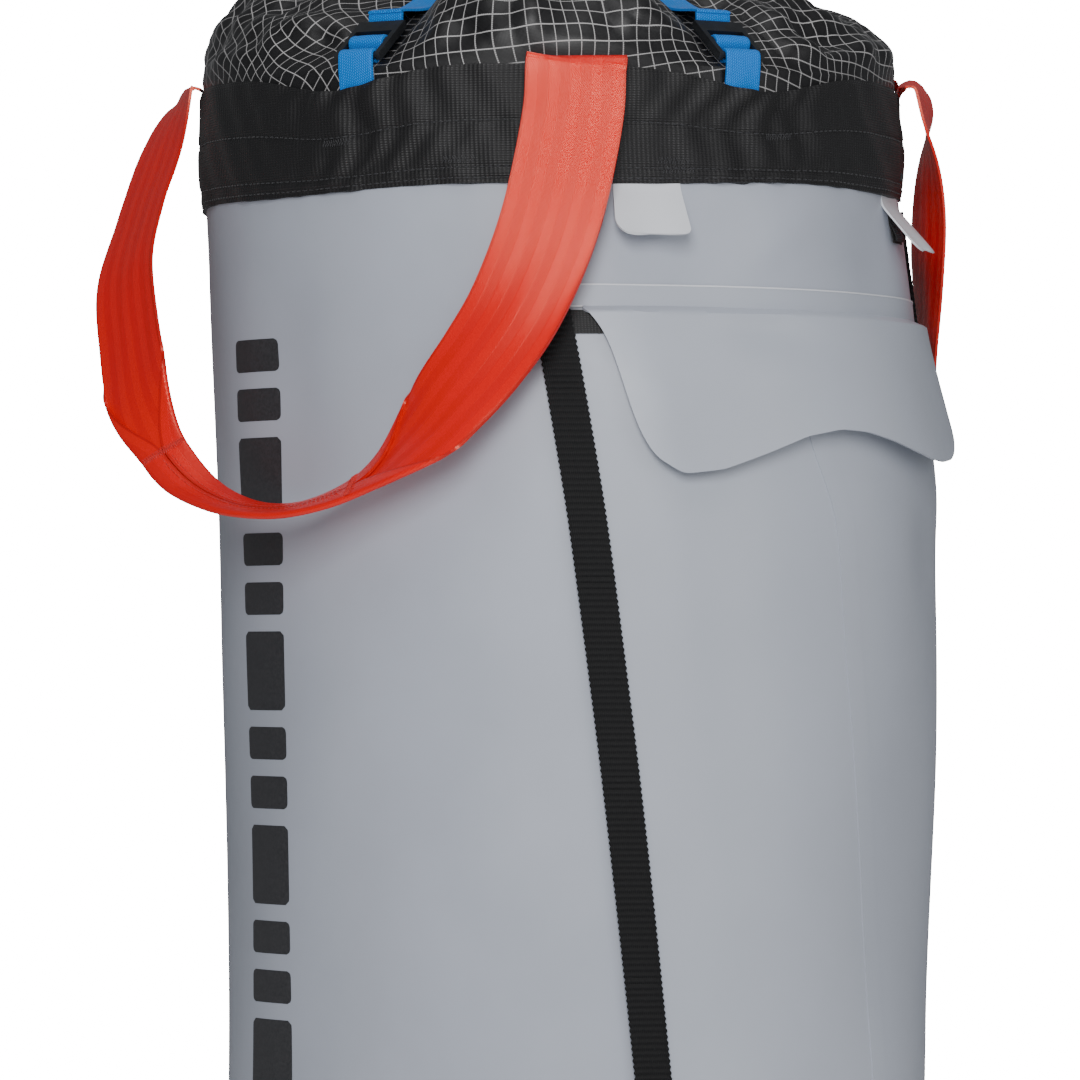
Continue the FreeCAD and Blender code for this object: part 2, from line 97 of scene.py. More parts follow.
# Single dents and swells: size in mm, angle, its slant with height, width, height, its extent.
DENTS = [(-3.4, -12, 0, 9, 0.546, 0.016), (1.6, -20, 0, 15, 0.520, 0.022), (-2.6, -21, 372, 7, 0.597, 0.022),
         (2.2, -9, 372, 6, 0.600, 0.020), (-2.8, 14, 0, 8, 0.592, 0.025), (2.2, -112, 0, 10, 0.50, 0.06),
         (-2.4, -97, 0, 8, 0.535, 0.05), (-1.6, -70, 0, 12, 0.36, 0.05), (1.4, -62, 0, 8, 0.30, 0.04),
         (1.5, 30, 0, 10, 0.47, 0.02), (-1.6, 24, 0, 7, 0.44, 0.03)]


def dent(phi, z):
    """Slow dents and swells of the filled sheet, in metres."""
    p = np.radians(phi)
    d = sum(size * np.sin(turns * p + rise * z + phase) for size, turns, rise, phase in DENT_WAVES)
    fade = np.clip((0.625 - z) / 0.05, 0, 1) * np.clip(z / 0.06, 0, 1)
    local = sum(size * bump(phi, angle + (z - 0.6) * slant, wide) * bump(z, height, tall)
                for size, angle, slant, wide, height, tall in DENTS)
    return (d + local) * fade * MM


def polar(r, phi, z):
    r, phi, z = np.broadcast_arrays(r, phi, z)
    p = np.radians(phi)
    return np.stack([r * np.sin(p), -r * np.cos(p), z], axis=-1)


def on_bag(phi, z, off=0.0):
    """Points that lie off metres outside the filled bag's sheet. phi is in degrees; all may be arrays."""
    phi, z, off = np.broadcast_arrays(phi, z, off)
    return polar(RADIUS(z) + dent(phi, z) + off, phi, z) + LEAN(z)[..., None] * RIGHT


def degrees(width, r=MEAN_R):
    return math.degrees(width / r)


def step(x, a, b):
    t = np.clip((x - a) / (b - a), 0, 1)
    return t * t * (3 - 2 * t)


def round_corner(left, corner):
    """How far a rounded corner of this radius cuts in at the distance left from the end."""
    return np.where(left < corner, corner - np.sqrt(np.maximum(corner ** 2 - (corner - left) ** 2, 0)), 0)


SLEEVE_TOP, SLEEVE_FOOT = 0.557, 0.024
SIDES = ((-1, "left"), (1, "right"))


def sleeve_off(phi, z):
    """How far the sleeve's outside stands off the bag's sheet."""
    left, right = rail_angle(-1, z), rail_angle(1, z)
    from_edge = np.minimum(phi - left, right - phi) - 2.6
    rise = step(from_edge, 0, 13)
    high = step(z, SLEEVE_FOOT, 0.100) * (1 - 0.55 * step(z, 0.50, SLEEVE_TOP))
    return (1.7 + 5.2 * rise * high) * MM


# ---- mesh code
def unit(v):
    return v / np.maximum(np.linalg.norm(v, axis=-1, keepdims=True), 1e-12)


def normals(points, wrap):
    """Unit normals of a grid of points (rows, columns, 3)."""
    aside = np.roll(points, -1, axis=1) - np.roll(points, 1, axis=1) if wrap else np.gradient(points, axis=1)
    return unit(np.cross(aside, np.gradient(points, axis=0)))


def add_object(name, data):
    obj = bpy.data.objects.new(name, data)
    bpy.context.collection.objects.link(obj)
    return obj


def make_object(name, points, faces, uv, material):
    """A mesh object; uv holds a pair for each vertex, or for each corner of each face in turn."""
    mesh = bpy.data.meshes.new(name)
    mesh.from_pydata(points.reshape(-1, 3).tolist(), [], faces)
    flat = uv.reshape(-1, 2)
    if len(flat) != len(mesh.loops):
        index = np.zeros(len(mesh.loops), dtype=np.int64)
        mesh.loops.foreach_get("vertex_index", index)
        flat = flat[index]
    mesh.uv_layers.new(name="UVMap").data.foreach_set("uv", flat.ravel())
    mesh.polygons.foreach_set("use_smooth", [True] * len(mesh.polygons))
    mesh.materials.append(material)
    mesh.validate()
    mesh.update()
    return add_object(name, mesh)


def quads(rows, cols, wrap, first=0):
    r, c = np.arange(rows - 1)[:, None], np.arange(cols if wrap else cols - 1)[None, :]
    c2 = (c + 1) % cols
    f = np.stack(np.broadcast_arrays(r * cols + c, r * cols + c2, (r + 1) * cols + c2, (r + 1) * cols + c), axis=-1)
    return f.reshape(-1, 4) + first


def sheet_faces(rows, cols, wrap, flip):
    """Faces of a closed sheet whose outside and inside are both grids of rows x cols."""
    count = rows * cols
    faces = [quads(rows, cols, wrap), quads(rows, cols, wrap, count)[:, ::-1]]
    here, down = np.arange(cols if wrap else cols - 1), np.arange(rows - 1) * cols
    edges = [(r * cols + here, r * cols + (here + 1) % cols, r > 0) for r in (0, rows - 1)]
    if not wrap:
        edges += [(c + down + cols, c + down, c > 0) for c in (0, cols - 1)]
    for i, j, turned in edges:
        wall = np.stack([i, i + count, j + count, j], axis=-1)
        faces.append(wall[:, ::-1] if turned else wall)
    faces = np.concatenate(faces)
    return (faces[:, ::-1] if flip else faces).tolist()


def two_faced(name, outer, inner, uv, material, wrap=False, flip=False, sharp=50):
    """A closed sheet between two grids of points; uv is a grid too, or holds a pair for each corner of a face."""
    if uv.ndim == 3:
        uv = np.concatenate([uv, uv])
    points = np.concatenate([outer.reshape(-1, 3), inner.reshape(-1, 3)])
    obj = make_object(name, points, sheet_faces(*outer.shape[:2], wrap, flip), uv, material)
    obj.data.set_sharp_from_angle(angle=math.radians(sharp))
    return obj


def shell(name, outer, uv, material, thick=1.2 * MM, wrap=False):
    """A closed sheet: a grid of outside points, its inside thick metres below, and walls round its edges."""
    left, right = corners(uv, wrap)
    ends = [(left[0], right[0]), (right[-1], left[-1])]
    if not wrap:
        ends += [(left[1:, 0], left[:-1, 0]), (right[:-1, -1], right[1:, -1])]
    loops = [np.stack([left[:-1], right[:-1], right[1:], left[1:]], axis=2),
             np.stack([left[1:], right[1:], right[:-1], left[:-1]], axis=2)]
    loops += [np.stack([a, a, b, b], axis=1) for a, b in ends]
    loops = np.concatenate([part.reshape(-1, 2) for part in loops])
    return two_faced(name, outer, outer - normals(outer, wrap) * thick, loops, material, wrap)


def corners(uv, wrap):
    """The pairs at the left and right side of each face of a grid, so that a closed grid has a clean seam."""
    if isinstance(uv, tuple):
        return uv
    if not wrap:
        return uv[:, :-1], uv[:, 1:]
    right = np.roll(uv, -1, axis=1)
    stride = np.abs(uv[:, -1] - uv[:, -2]).max()
    if np.abs(right[:, -1] - uv[:, -1]).max() > 5 * stride:
        right[:, -1] = 2 * uv[:, -1] - uv[:, -2]
    return uv, right


def column(first, last, count):
    return np.linspace(first, last, count)[:, None]


def across(first, last, count, closed=False):
    """Evenly spaced numbers in a row; where the row closes on itself, the last one is left out."""
    return np.linspace(first, last, count, endpoint=not closed)[None, :]


def pairs(u, v):
    return np.stack(np.broadcast_arrays(u, v), axis=-1)


def flat_on_bag(phi, z):
    """Where a point lies on the sheet laid flat, as (width, height) in metres."""
    return pairs(np.radians(phi) * MEAN_R, z)


def at(edge, z):
    return edge(z) if callable(edge) else edge


def patch(name, z0, z1, phi0, phi1, off, material, thick=1.2 * MM, rows=60, cols=24, wrap=False, round_edge=0.0):
    """A sheet that lies on the bag between two heights and two angles. Angles and off may be functions."""
    z, t = column(z0, z1, rows), across(0, 1, cols, wrap)
    phi = at(phi0, z) + (at(phi1, z) - at(phi0, z)) * t
    lift = off(phi, z) if callable(off) else off
    if round_edge:
        lift = lift - round_edge * (1 - np.clip(np.minimum(t, 1 - t) * 8, 0, 1)) ** 2
    return shell(name, on_bag(phi, z, lift), flat_on_bag(phi, z), material, thick, wrap)


def ride(obj, slot=None, *nodes, body="root"):
    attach(obj, body)
    finish_piece(nodes)


def bend(obj, body, start, end, slot, *nodes):
    """The piece's placement is baked into its mesh and the named CAD parts are hidden; body, start and end are not
    used.
    """
    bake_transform(obj)
    finish_piece(nodes)


def finish_piece(nodes):
    if nodes:
        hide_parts(*nodes)


# ---- materials
def linear(r, g, b, tone=1.0):
    """A colour given as 0 to 255, made darker or lighter by tone, for a shader."""
    shares = [min(255, c * tone) / 255 for c in (r, g, b)]
    return [c / 12.92 if c <= 0.04045 else ((c + 0.055) / 1.055) ** 2.4 for c in shares] + [1.0]


def scaled(colour, share):
    return [min(1, c * share) for c in colour[:3]] + [1]


class Nodes:
    """A short way to write a node tree."""

    def __init__(self, name, **inputs):
        self.mat = bpy.data.materials.new(name)
        self.mat.use_nodes = True
        self.tree = self.mat.node_tree
        self.bsdf = self.tree.nodes["Principled BSDF"]
        for key, value in inputs.items():
            self.bsdf.inputs[key.replace("_", " ")].default_value = value

    def add(self, kind, links=None, **values):
        node = self.tree.nodes.new(kind)
        for key, value in values.items():
            setattr(node, key, value)
        for socket, source in (links or {}).items():
            self.put(node.inputs[socket], source)
        return node

    def put(self, socket, source):
        if isinstance(source, bpy.types.NodeSocket):
            self.tree.links.new(source, socket)
        elif isinstance(source, bpy.types.Node):
            self.tree.links.new(source.outputs[0], socket)
        else:
            socket.default_value = source

    def math(self, operation, a, b=0.0):
        return self.add("ShaderNodeMath", {0: a, 1: b}, operation=operation)

    def times(self, a, b):
        return self.math("MULTIPLY", a, b)

    def plus(self, a, b):
        return self.math("ADD", a, b)

    def weighted(self, a, share_a, b, share_b):
        return self.plus(self.times(a, share_a), self.times(b, share_b))

    def remap(self, value, low, high, to_low=0.0, to_high=1.0):
        return self.add("ShaderNodeMapRange", {0: value, 1: low, 2: high, 3: to_low, 4: to_high})

    def mix(self, factor, a, b):
        node = self.add("ShaderNodeMix", data_type="RGBA")
        self.put(node.inputs[0], factor)
        self.put(node.inputs[6], a)
        self.put(node.inputs[7], b)
        return node.outputs[2]

    def noise(self, scale, detail, rough=0.5):
        where = self.add("ShaderNodeTexCoord").outputs["Object"]
        return self.add("ShaderNodeTexNoise", {"Vector": where, "Scale": scale, "Detail": detail, "Roughness": rough})

    def uv(self):
        split = self.add("ShaderNodeSeparateXYZ", {0: self.add("ShaderNodeUVMap")})
        return split.outputs[0], split.outputs[1]

    def wave(self, value, pitch, phase=0.0):
        """A sine of this pitch in metres, from 0 to 1."""
        turned = self.plus(self.times(value, 2 * math.pi / pitch), phase)
        return self.plus(self.times(self.math("SINE", turned), 0.5), 0.5)

    def near_line(self, value, pitch, half):
        """1 within half metres of evenly spaced lines, soft at the edges."""
        share = self.math("FRACT", self.math("DIVIDE", value, pitch))
        off = self.math("ABSOLUTE", self.math("SUBTRACT", share, 0.5))
        return self.remap(off, half / pitch * 1.6, half / pitch * 0.6)

    def finish(self, colour=None, rough=None, height=None, depth=0.0002, strength=1.0):
        if colour is not None:
            self.put(self.bsdf.inputs["Base Color"], colour)
        if rough is not None:
            self.put(self.bsdf.inputs["Roughness"], rough)
        if height is not None:
            node = self.add("ShaderNodeBump", {"Height": height, "Distance": depth, "Strength": strength})
            self.tree.links.new(node.outputs[0], self.bsdf.inputs["Normal"])
        return self.mat


def coated_sheet(name, rgb, tone=0.06, base_rough=0.40):
    """Coated cloth: a satin skin with the cloth's weave just showing through, and faint rubbed marks."""
    n = Nodes(name, Specular_IOR_Level=0.42, Coat_Weight=0.10, Coat_Roughness=0.34)
    cloud = n.noise(9.0, 4.0)
    colour = linear(*rgb)
    shade = n.mix(n.remap(cloud, 0.3, 0.7), scaled(colour, 1 - tone), scaled(colour, 1 + tone))
    rub = n.noise(120.0, 5.0, 0.65)
    rough = n.remap(rub, 0.3, 0.75, base_rough - 0.04, base_rough + 0.07)
    u, v = n.uv()
    weave = n.plus(n.wave(u, 0.95 * MM), n.wave(v, 0.95 * MM))
    grain = n.noise(900.0, 2.0)
    height = n.weighted(weave, 0.35, grain, 0.6)
    return n.finish(shade, rough, height, 0.00003, 0.5)


def black_webbing(name, rib_u, rib_v, rgb, depth=0.00035, gloss=0.45):
    n = Nodes(name, Specular_IOR_Level=gloss, Sheen_Weight=0.03, Sheen_Roughness=0.4)
    u, v = n.uv()
    rib = n.wave(u, rib_u)
    pick = n.wave(v, rib_v)
    both = n.times(rib, pick)
    height = n.weighted(rib, 0.5, pick, 0.6)
    cloud = n.noise(40.0, 3.0)
    shade = n.mix(both, linear(*rgb, 0.66), linear(*rgb, 1.45))
    shade = n.mix(n.remap(cloud, 0.35, 0.7, 0.0, 0.35), shade, linear(*rgb, 1.25))
    return n.finish(shade, n.remap(both, 0, 1, 0.62, 0.42), height, depth, 0.85)


def banded_webbing(name):
    """Seat-belt webbing: nine lengthwise bands, a fine twill and firm edges; the bands' lighter and darker reds are
    painted sheen, for how the alternating twill catches the light. v runs along it in metres and u across it, from
    -0.025 to 0.025."""
    n = Nodes(name, IOR=2.0, Specular_Tint=(1.0, 0.36, 0.24, 1.0), Sheen_Weight=0.04,
              Sheen_Roughness=0.3, Sheen_Tint=(1.0, 0.30, 0.16, 1.0))
    u, v = n.uv()
    band = n.remap(n.wave(u, 10.6 * MM, math.pi / 2), 0.42, 0.58)
    slant = n.plus(u, n.times(v, 0.55))
    twill = n.wave(slant, 0.85 * MM)
    pick = n.wave(v, 0.62 * MM)
    fleck = n.noise(1400.0, 2.0)
    tone = n.weighted(twill, 0.25, fleck, 0.55)
    # Painted sheen: the band mask picks a lighter and a darker red for the bands that catch more and less light.
    shade = n.mix(band, linear(232, 4, 14), linear(244, 14, 16))
    shade = n.mix(n.remap(tone, 0.15, 0.75, 0.36, 0.0), shade, linear(168, 0, 6))
    edge = n.remap(n.math("ABSOLUTE", u), 0.0234, 0.0241)
    shade = n.mix(n.times(edge, n.remap(pick, 0.0, 1.0, 0.2, 0.9)), shade, linear(176, 6, 10))
    height = n.plus(n.weighted(twill, 0.5, pick, 0.35), n.times(band, 0.5))
    return n.finish(shade, n.remap(band, 0.0, 1.0, 0.31, 0.23), height, 0.00016, 0.7)


def ripstop(name):
    """Charcoal ripstop: pale threads every 7.3 mm both ways, and faint crossed threads in each square."""
    n = Nodes(name, Specular_IOR_Level=0.40, Sheen_Weight=0.03, Sheen_Roughness=0.35)
    u, v = n.uv()
    cell = 7.3 * MM
    lines = n.math("MAXIMUM", n.near_line(u, cell, 0.24 * MM), n.near_line(v, cell, 0.24 * MM))
    beads = n.math("MAXIMUM", n.wave(u, 0.9 * MM), n.wave(v, 0.9 * MM))
    lines = n.times(lines, n.remap(beads, 0.2, 0.95, 0.35, 1.0))
    plus, minus = n.plus(u, v), n.math("SUBTRACT", u, v)
    cross = n.math("MAXIMUM", n.near_line(plus, cell, 0.30 * MM), n.near_line(minus, cell, 0.30 * MM))
    cloth = n.times(n.wave(u, 0.55 * MM), n.wave(v, 0.55 * MM))
    cloud = n.noise(30.0, 3.0)
    shade = n.mix(cloth, linear(13, 13, 14), linear(38, 37, 39))
    shade = n.mix(n.remap(cloud, 0.3, 0.7, 0.0, 0.2), shade, linear(46, 45, 48))
    shade = n.mix(n.times(cross, 0.7), shade, linear(8, 8, 9))
    shade = n.mix(n.times(lines, 0.9), shade, linear(186, 184, 184))
    height = n.weighted(lines, 0.7, cloth, 0.3)
    return n.finish(shade, n.remap(lines, 0.0, 1.0, 0.42, 0.62), height, 0.00012, 0.8)


def woven_strap(name, rgb):
    n = Nodes(name, Specular_IOR_Level=0.32, Sheen_Weight=0.08, Sheen_Roughness=0.4)
    u, v = n.uv()
    chevron = n.plus(v, n.times(n.math("ABSOLUTE", u), 0.9))
    twill = n.wave(chevron, 1.35 * MM)
    rib = n.wave(u, 1.1 * MM)
    both = n.times(twill, rib)
    shade = n.mix(both, linear(*rgb, 0.72), linear(*rgb, 1.12))
    return n.finish(shade, n.remap(both, 0, 1, 0.62, 0.46), both, 0.0002, 0.8)


def moulded(name, rgb, rough=0.42):
    n = Nodes(name, Specular_IOR_Level=0.45)
    fine = n.noise(2600.0, 2.0)
    broad = n.noise(160.0, 3.0)
    colour = linear(*rgb)
    shade = n.mix(n.remap(broad, 0.3, 0.7), scaled(colour, 0.8), scaled(colour, 1.25))
    return n.finish(shade, n.remap(fine, 0.3, 0.7, rough - 0.06, rough + 0.1), fine, 0.00003, 0.4)


def padding(name, rgb):
    n = Nodes(name, Specular_IOR_Level=0.25, Sheen_Weight=0.2)
    u, v = n.uv()
    mesh = n.times(n.wave(u, 2.2 * MM), n.wave(v, 2.2 * MM))
    shade = n.mix(mesh, linear(*rgb, 0.6), linear(*rgb, 1.3))
    return n.finish(shade, 0.8, mesh, 0.0004, 0.8)


def thread(name, rgb):
    n = Nodes(name, Specular_IOR_Level=0.35, Sheen_Weight=0.15)
    twist = n.noise(1800.0, 2.0)
    shade = n.mix(n.remap(twist, 0.3, 0.7), linear(*rgb, 0.6), linear(*rgb, 1.2))
    return n.finish(shade, 0.6, twist, 0.0001, 0.6)


def print_ink(name):
    n = Nodes(name, Specular_IOR_Level=0.40)
    speck = n.noise(700.0, 4.0, 0.6)
    shade = n.mix(n.remap(speck, 0.35, 0.7), linear(42, 42, 45), linear(60, 60, 63))
    return n.finish(shade, n.remap(speck, 0.3, 0.7, 0.42, 0.52), speck, 0.00002, 0.4)


SHEET = coated_sheet("coated_sheet", (170, 175, 187))
PANEL = coated_sheet("coated_panel", (173, 178, 189), 0.045)
# Also used on the weld beads, where its lighter tone is a painted highlight along the weld's two edges.
TAB_AND_WELD_HIGHLIGHT = coated_sheet("coated_tab_and_weld_highlight", (213, 215, 221), 0.03, 0.36)
BASE = coated_sheet("coated_base", (150, 154, 162), 0.08, 0.46)
COLLAR = black_webbing("collar_webbing_ribbed", 2.3 * MM, 1.25 * MM, (18, 17, 19))
RAIL = black_webbing("rail_grosgrain", 1.0 * MM, 3.0 * MM, (9, 9, 11), 0.0003, 0.24)
TAPE = black_webbing("binding_tape", 1.6 * MM, 1.1 * MM, (14, 14, 16), 0.0002)
HAUL = banded_webbing("haul_webbing_banded")
RIPSTOP = ripstop("ripstop_cloth")
BLUE = woven_strap("blue_strap", (1, 137, 255))
PLASTIC = moulded("buckle_moulding", (24, 26, 29))
EYELET = moulded("eyelet_moulding", (30, 30, 32), 0.5)
PADDING = padding("harness_padding", (48, 48, 52))
BLACK_THREAD = thread("black_thread", (44, 44, 48))
RED_THREAD = thread("red_thread", (206, 30, 24))
INK = print_ink("print_ink")


# ---- body, base and print
def make_body():
    z, phi = column(0.0015, 0.6545, 150), across(-180, 180, 288, True)
    body = shell("bag_body", on_bag(phi, z), flat_on_bag(phi, z), SHEET, 1.5 * MM, wrap=True)
    ride(body, "tpu_grey", "body_shell")
    tape = patch("body_seam", 0.030, 0.619, 153, 163, 0.55 * MM, SHEET, 0.5 * MM, 120, 8)
    ride(tape, "tpu_grey", "body_seam_tape")


def make_base():
    flat_part, flat_radius = 0.72, 0.1715
    t, phi = column(0, 1, 26), across(-180, 180, 144, True)
    round_part = np.clip((t - flat_part) / (1 - flat_part), 0, 1)
    r = flat_radius * np.minimum(t / flat_part, 1) + 0.0055 * np.sin(round_part * math.pi / 2)
    z = 0.0235 * round_part ** 2 + 0.9 * MM * bump(r, 0.10, 0.05) * (0.5 + 0.5 * np.sin(np.radians(phi) * 3))
    points = polar(r, phi, z) + LEAN(0 * phi)[..., None] * RIGHT
    base = shell("bag_base", points[::-1], points[::-1, :, :2], BASE, 1.6 * MM, wrap=True)
    ride(base, "tpu_base", "base_panel")
    tape = patch("base_tape", 0.002, 0.023, -180, 180, 1.3 * MM, BASE, 1.0 * MM, 10, 200, wrap=True)
    ride(tape, "tpu_base", "base_seam_tape")


def make_print():
    """A plain column of bars in place of lettering: two short ones, then a long one, over and over."""
    top, index = 0.548, 0
    middle, half, corner, gap = -106.9, 6.3, 3.2 * MM, 8.5 * MM
    s, u = column(0, 1, 20), across(-1, 1, 14)
    while top > 0.045:
        length = (0.0165, 0.0165, 0.040)[index % 3]
        inset = round_corner(np.minimum(s, 1 - s) * length, corner)
        phi, z = middle + u * (half - np.degrees(inset / MEAN_R)), top - s * length
        uv = pairs(phi * 0.0032, z)
        bar = shell(f"print_bar_{index:02d}", on_bag(phi, z, 0.14 * MM)[::-1], uv[::-1], INK, 0.12 * MM)
        ride(bar, "tpu_grey")
        top -= length + gap
        index += 1


# ---- harness sleeve and rails
SEAM = [(20, 12.6), (120, 10.6), (177, 9.6), (260, 6.2), (330, 3.6), (395, 1.3), (440, 0.3), (462, -0.6), (475, -2.6),
        (500, -5.7), (556, -7.6)]


def make_sleeve():
    z, t = column(SLEEVE_FOOT, SLEEVE_TOP, 170), across(0, 1, 110)
    left, right = rail_angle(-1, z) - 1.5, rail_angle(1, z) + 1.5
    phi = left + (right - left) * t
    panel = shell("sleeve_panel_cloth", on_bag(phi, z, sleeve_off(phi, z)), flat_on_bag(phi, z), PANEL, 1.2 * MM)
    ride(panel, "tpu_grey", "sleeve_panel")
    binding = patch("sleeve_binding", SLEEVE_TOP - 0.0105, SLEEVE_TOP + 0.0012,
                    lambda q: rail_angle(-1, q) - 2.6, lambda q: rail_angle(1, q) + 2.6,
                    lambda p, q: sleeve_off(p, q) + 0.9 * MM, TAPE, 2.6 * MM, 8, 120)
    ride(binding, "webbing_black", "sleeve_mouth_binding")
    heights = np.arange(0, 0.6, 0.002)
    angles = smoothed(np.interp(heights / MM, *np.array(SEAM).T), 12, 5)
    seam = patch("sleeve_seam", 0.030, 0.550, lambda q: np.interp(q, heights, angles) - 3.9,
                 lambda q: np.interp(q, heights, angles), lambda p, q: sleeve_off(p, q) + 0.5 * MM, PANEL, 0.5 * MM,
                 170, 8)
    ride(seam, "tpu_light", "sleeve_seam_strip")


def make_rails():
    """Grosgrain with a real rib every 3 mm, sewn over both edges of the sleeve."""
    z, u = column(0.028, COLLAR_HEM, 1180), across(-1, 1, 13)
    for side, name in SIDES:
        middle = rail_angle(side, z)
        rib = np.abs(np.sin(math.pi * z / (3.0 * MM))) ** 0.7 * np.clip((1 - np.abs(u)) * 7, 0, 1)
        lift = sleeve_off(middle, z) + (1.55 + 0.42 * rib + 0.35 * bump(np.abs(u), 0.93, 0.05)) * MM
        ragged = 0.12 * np.sin(z * 2100.0 + side) * (np.abs(u) > 0.99) * np.sign(u)
        uv = pairs(u * RAIL_W / 2, z)
        points = on_bag(middle + u * degrees(RAIL_W / 2, 0.186) + ragged, z, lift)
        ride(shell("rail_" + name, points, uv, RAIL, 1.5 * MM), "webbing_black", "rail_webbing_" + name)


def make_weld_strip():
    strip = patch("flap_weld", 0.5598, 0.5712, -47.5, 46.0, 0.75 * MM, PANEL, 0.6 * MM, 8, 130, round_edge=0.3 * MM)
    ride(strip, "tpu_light", "flap_weld_strip")
    for index, z in enumerate((0.5602, 0.5710)):
        # Painted highlight: the beads take the lighter tab colour for light caught on the weld's thin edges.
        bead = patch(f"flap_weld_bead_{index}", z - 0.0004, z + 0.0004, -47.5, 46.0, 0.98 * MM, TAB_AND_WELD_HIGHLIGHT, 0.4 * MM, 3, 150)
        ride(bead, "tpu_light")


# ---- flap and strap guards
FLAP_DEPTH = [(-146, 0.3), (-143, 4), (-139, 9.5), (-135, 17), (-132, 28), (-129, 42), (-124, 62), (-117, 76),
              (-104, 85), (-84, 82.5), (-62, 74.5), (-38, 65), (-17, 61), (0, 62), (18, 66), (36, 71), (52, 74.5),
              (66, 75.5), (80, 74), (92, 69.5), (102, 62), (110, 52), (117, 40), (124, 25), (131, 10), (138, 0.3)]


def make_flap():
    distances, depths = np.array(FLAP_DEPTH).T
    fine = np.linspace(-146, 138, 569)
    s, v = across(-146, 138, 190), column(0, 1, 46)
    down = v * np.interp(s, fine, smoothed(np.interp(fine, distances, depths), 12, 5)) * MM
    phi = 0.4 + np.degrees(s * MM / 0.1865) + 0 * v
    z = 0.5606 - down * 0.985
    stand = np.interp(s, [-146, -100, -40, 0, 60, 100, 125, 138], [2.6, 5.0, 8.5, 10.5, 13.0, 14.5, 13.0, 9.0])
    share = down / 0.083
    curl = stand * (0.55 * share + 0.45 * share ** 2.2)
    ripple = (0.9 * np.sin(np.radians(phi) * 7.0 + 1.0) * share + 1.5 * bump(phi, -18, 9) * bump(share, 0.3, 0.25)
              + 1.8 * bump(phi, -9, 8) * bump(share, 0.28, 0.16) - 1.6 * bump(phi, -17, 7) * bump(share, 0.13, 0.11)
              - 1.2 * bump(phi, 22, 8) * bump(share, 0.6, 0.3))
    under = (sleeve_off(phi, np.minimum(z, 0.556)) + 2.6 * MM) * step(down, -0.0004, 0.0034)
    lift = under + (curl + ripple + 0.75) * MM
    uv = pairs(phi * 0.0032, z)
    flap = shell("flap_cloth", on_bag(phi, z, lift)[::-1], uv[::-1], PANEL, 1.1 * MM)
    bend(flap, "flap_panel", (0, -0.190, 0.5592), (0, -0.190, 0.541), "tpu_light", "flap")


def make_guards():
    """Plain coated tabs that come out from under the collar and stand off the bag, each over a webbing loop."""
    hidden = 5.0 * MM
    for (side, name), root, tilt0, hang in zip(SIDES, (-32.5, 26.5), (26, 38), (27.5, 32.0)):
        length = hang * MM + hidden
        t, u = column(0, 1, 52), across(-1, 1, 30)
        along = t * length
        tilt = np.radians(4 + tilt0 * step(along, hidden - 0.004, hidden + 0.006) - 5 * step(along, 0.026, 0.040))
        out, drop = (np.cumsum(part, axis=0) * length / 51 for part in (np.sin(tilt), np.cos(tilt)))
        inset = np.where(u < 0, round_corner(length - along, 9.5 * MM), round_corner(length - along, 4.0 * MM))
        around = u * ((17.0 + 2.6 * t) * MM - inset)
        sag = -(around ** 2) / (2 * 0.24) + 0.9 * MM * np.sin(u * 3.0 + side) * t
        points = (on_bag(root, COLLAR_HEM + hidden, 0.25 * MM) + (out + sag)[..., None] * polar(1, root, 0)
                  + around[..., None] * polar(1, root + 90, 0) - drop[..., None] * UP)
        uv = pairs(around, -along)
        guard = shell("guard_" + name, points[::-1], uv[::-1], TAB_AND_WELD_HIGHLIGHT, 1.0 * MM)
        bend(guard, "guard_" + name, on_bag(root, 0.6200), on_bag(root, 0.6125), "tpu_light", "strap_guard_" + name)
        make_lifter_loop(name, root)


def make_lifter_loop(name, root):
    def loop_off(phi, z):
        return (0.3 + 1.3 * step(z, 0.612, 0.602) - 1.2 * step(z, 0.6165, 0.6185)) * MM
    ends = root - degrees(9 * MM), root + degrees(9 * MM)
    loop = patch("lifter_loop_" + name, 0.5995, 0.623, *ends, loop_off, TAPE, 0.5 * MM, 24, 14)
    fold = patch("lifter_loop_fold_" + name, 0.6005, 0.623, *ends, lambda p, q: loop_off(p, q) * 2 + 0.1 * MM, TAPE,
                 0.5 * MM, 24, 14)
    ride(loop, "webbing_black", "load_lifter_loop_" + name)
    ride(fold, "webbing_black")


# ---- collar
STRAPS = (-79.5, -15.5, 100.5, 164.5)
COLLAR_SEAMS = (0.47, 0.865, 0.955)
COLLAR_PUCKERS = ((-84, 1.0), (-79, -0.9), (-12, 0.9), (-5, -1.0), (2, 0.7), (103, 0.8), (97, -0.8), (161, 0.8))


def collar_top(phi):
    """Height of the collar's top edge: it is pulled down where the top straps are sewn in."""
    z = 0.6805 + 0 * phi
    for centre, deep, wide in ((-84, 10.5, 13), (-11, 11.0, 14), (100, 9.0, 12), (164, 9.0, 12)):
        z = z - deep * MM * bump(phi, centre, wide)
    return z + 0.6 * MM * np.sin(np.radians(phi) * 5 + 1.0)


def collar_bottom(phi):
    return 0.6215 + (3.2 * np.cos(np.radians(phi - 42.5)) + 0.9 * np.sin(np.radians(phi) * 6 + 2.0)) * MM


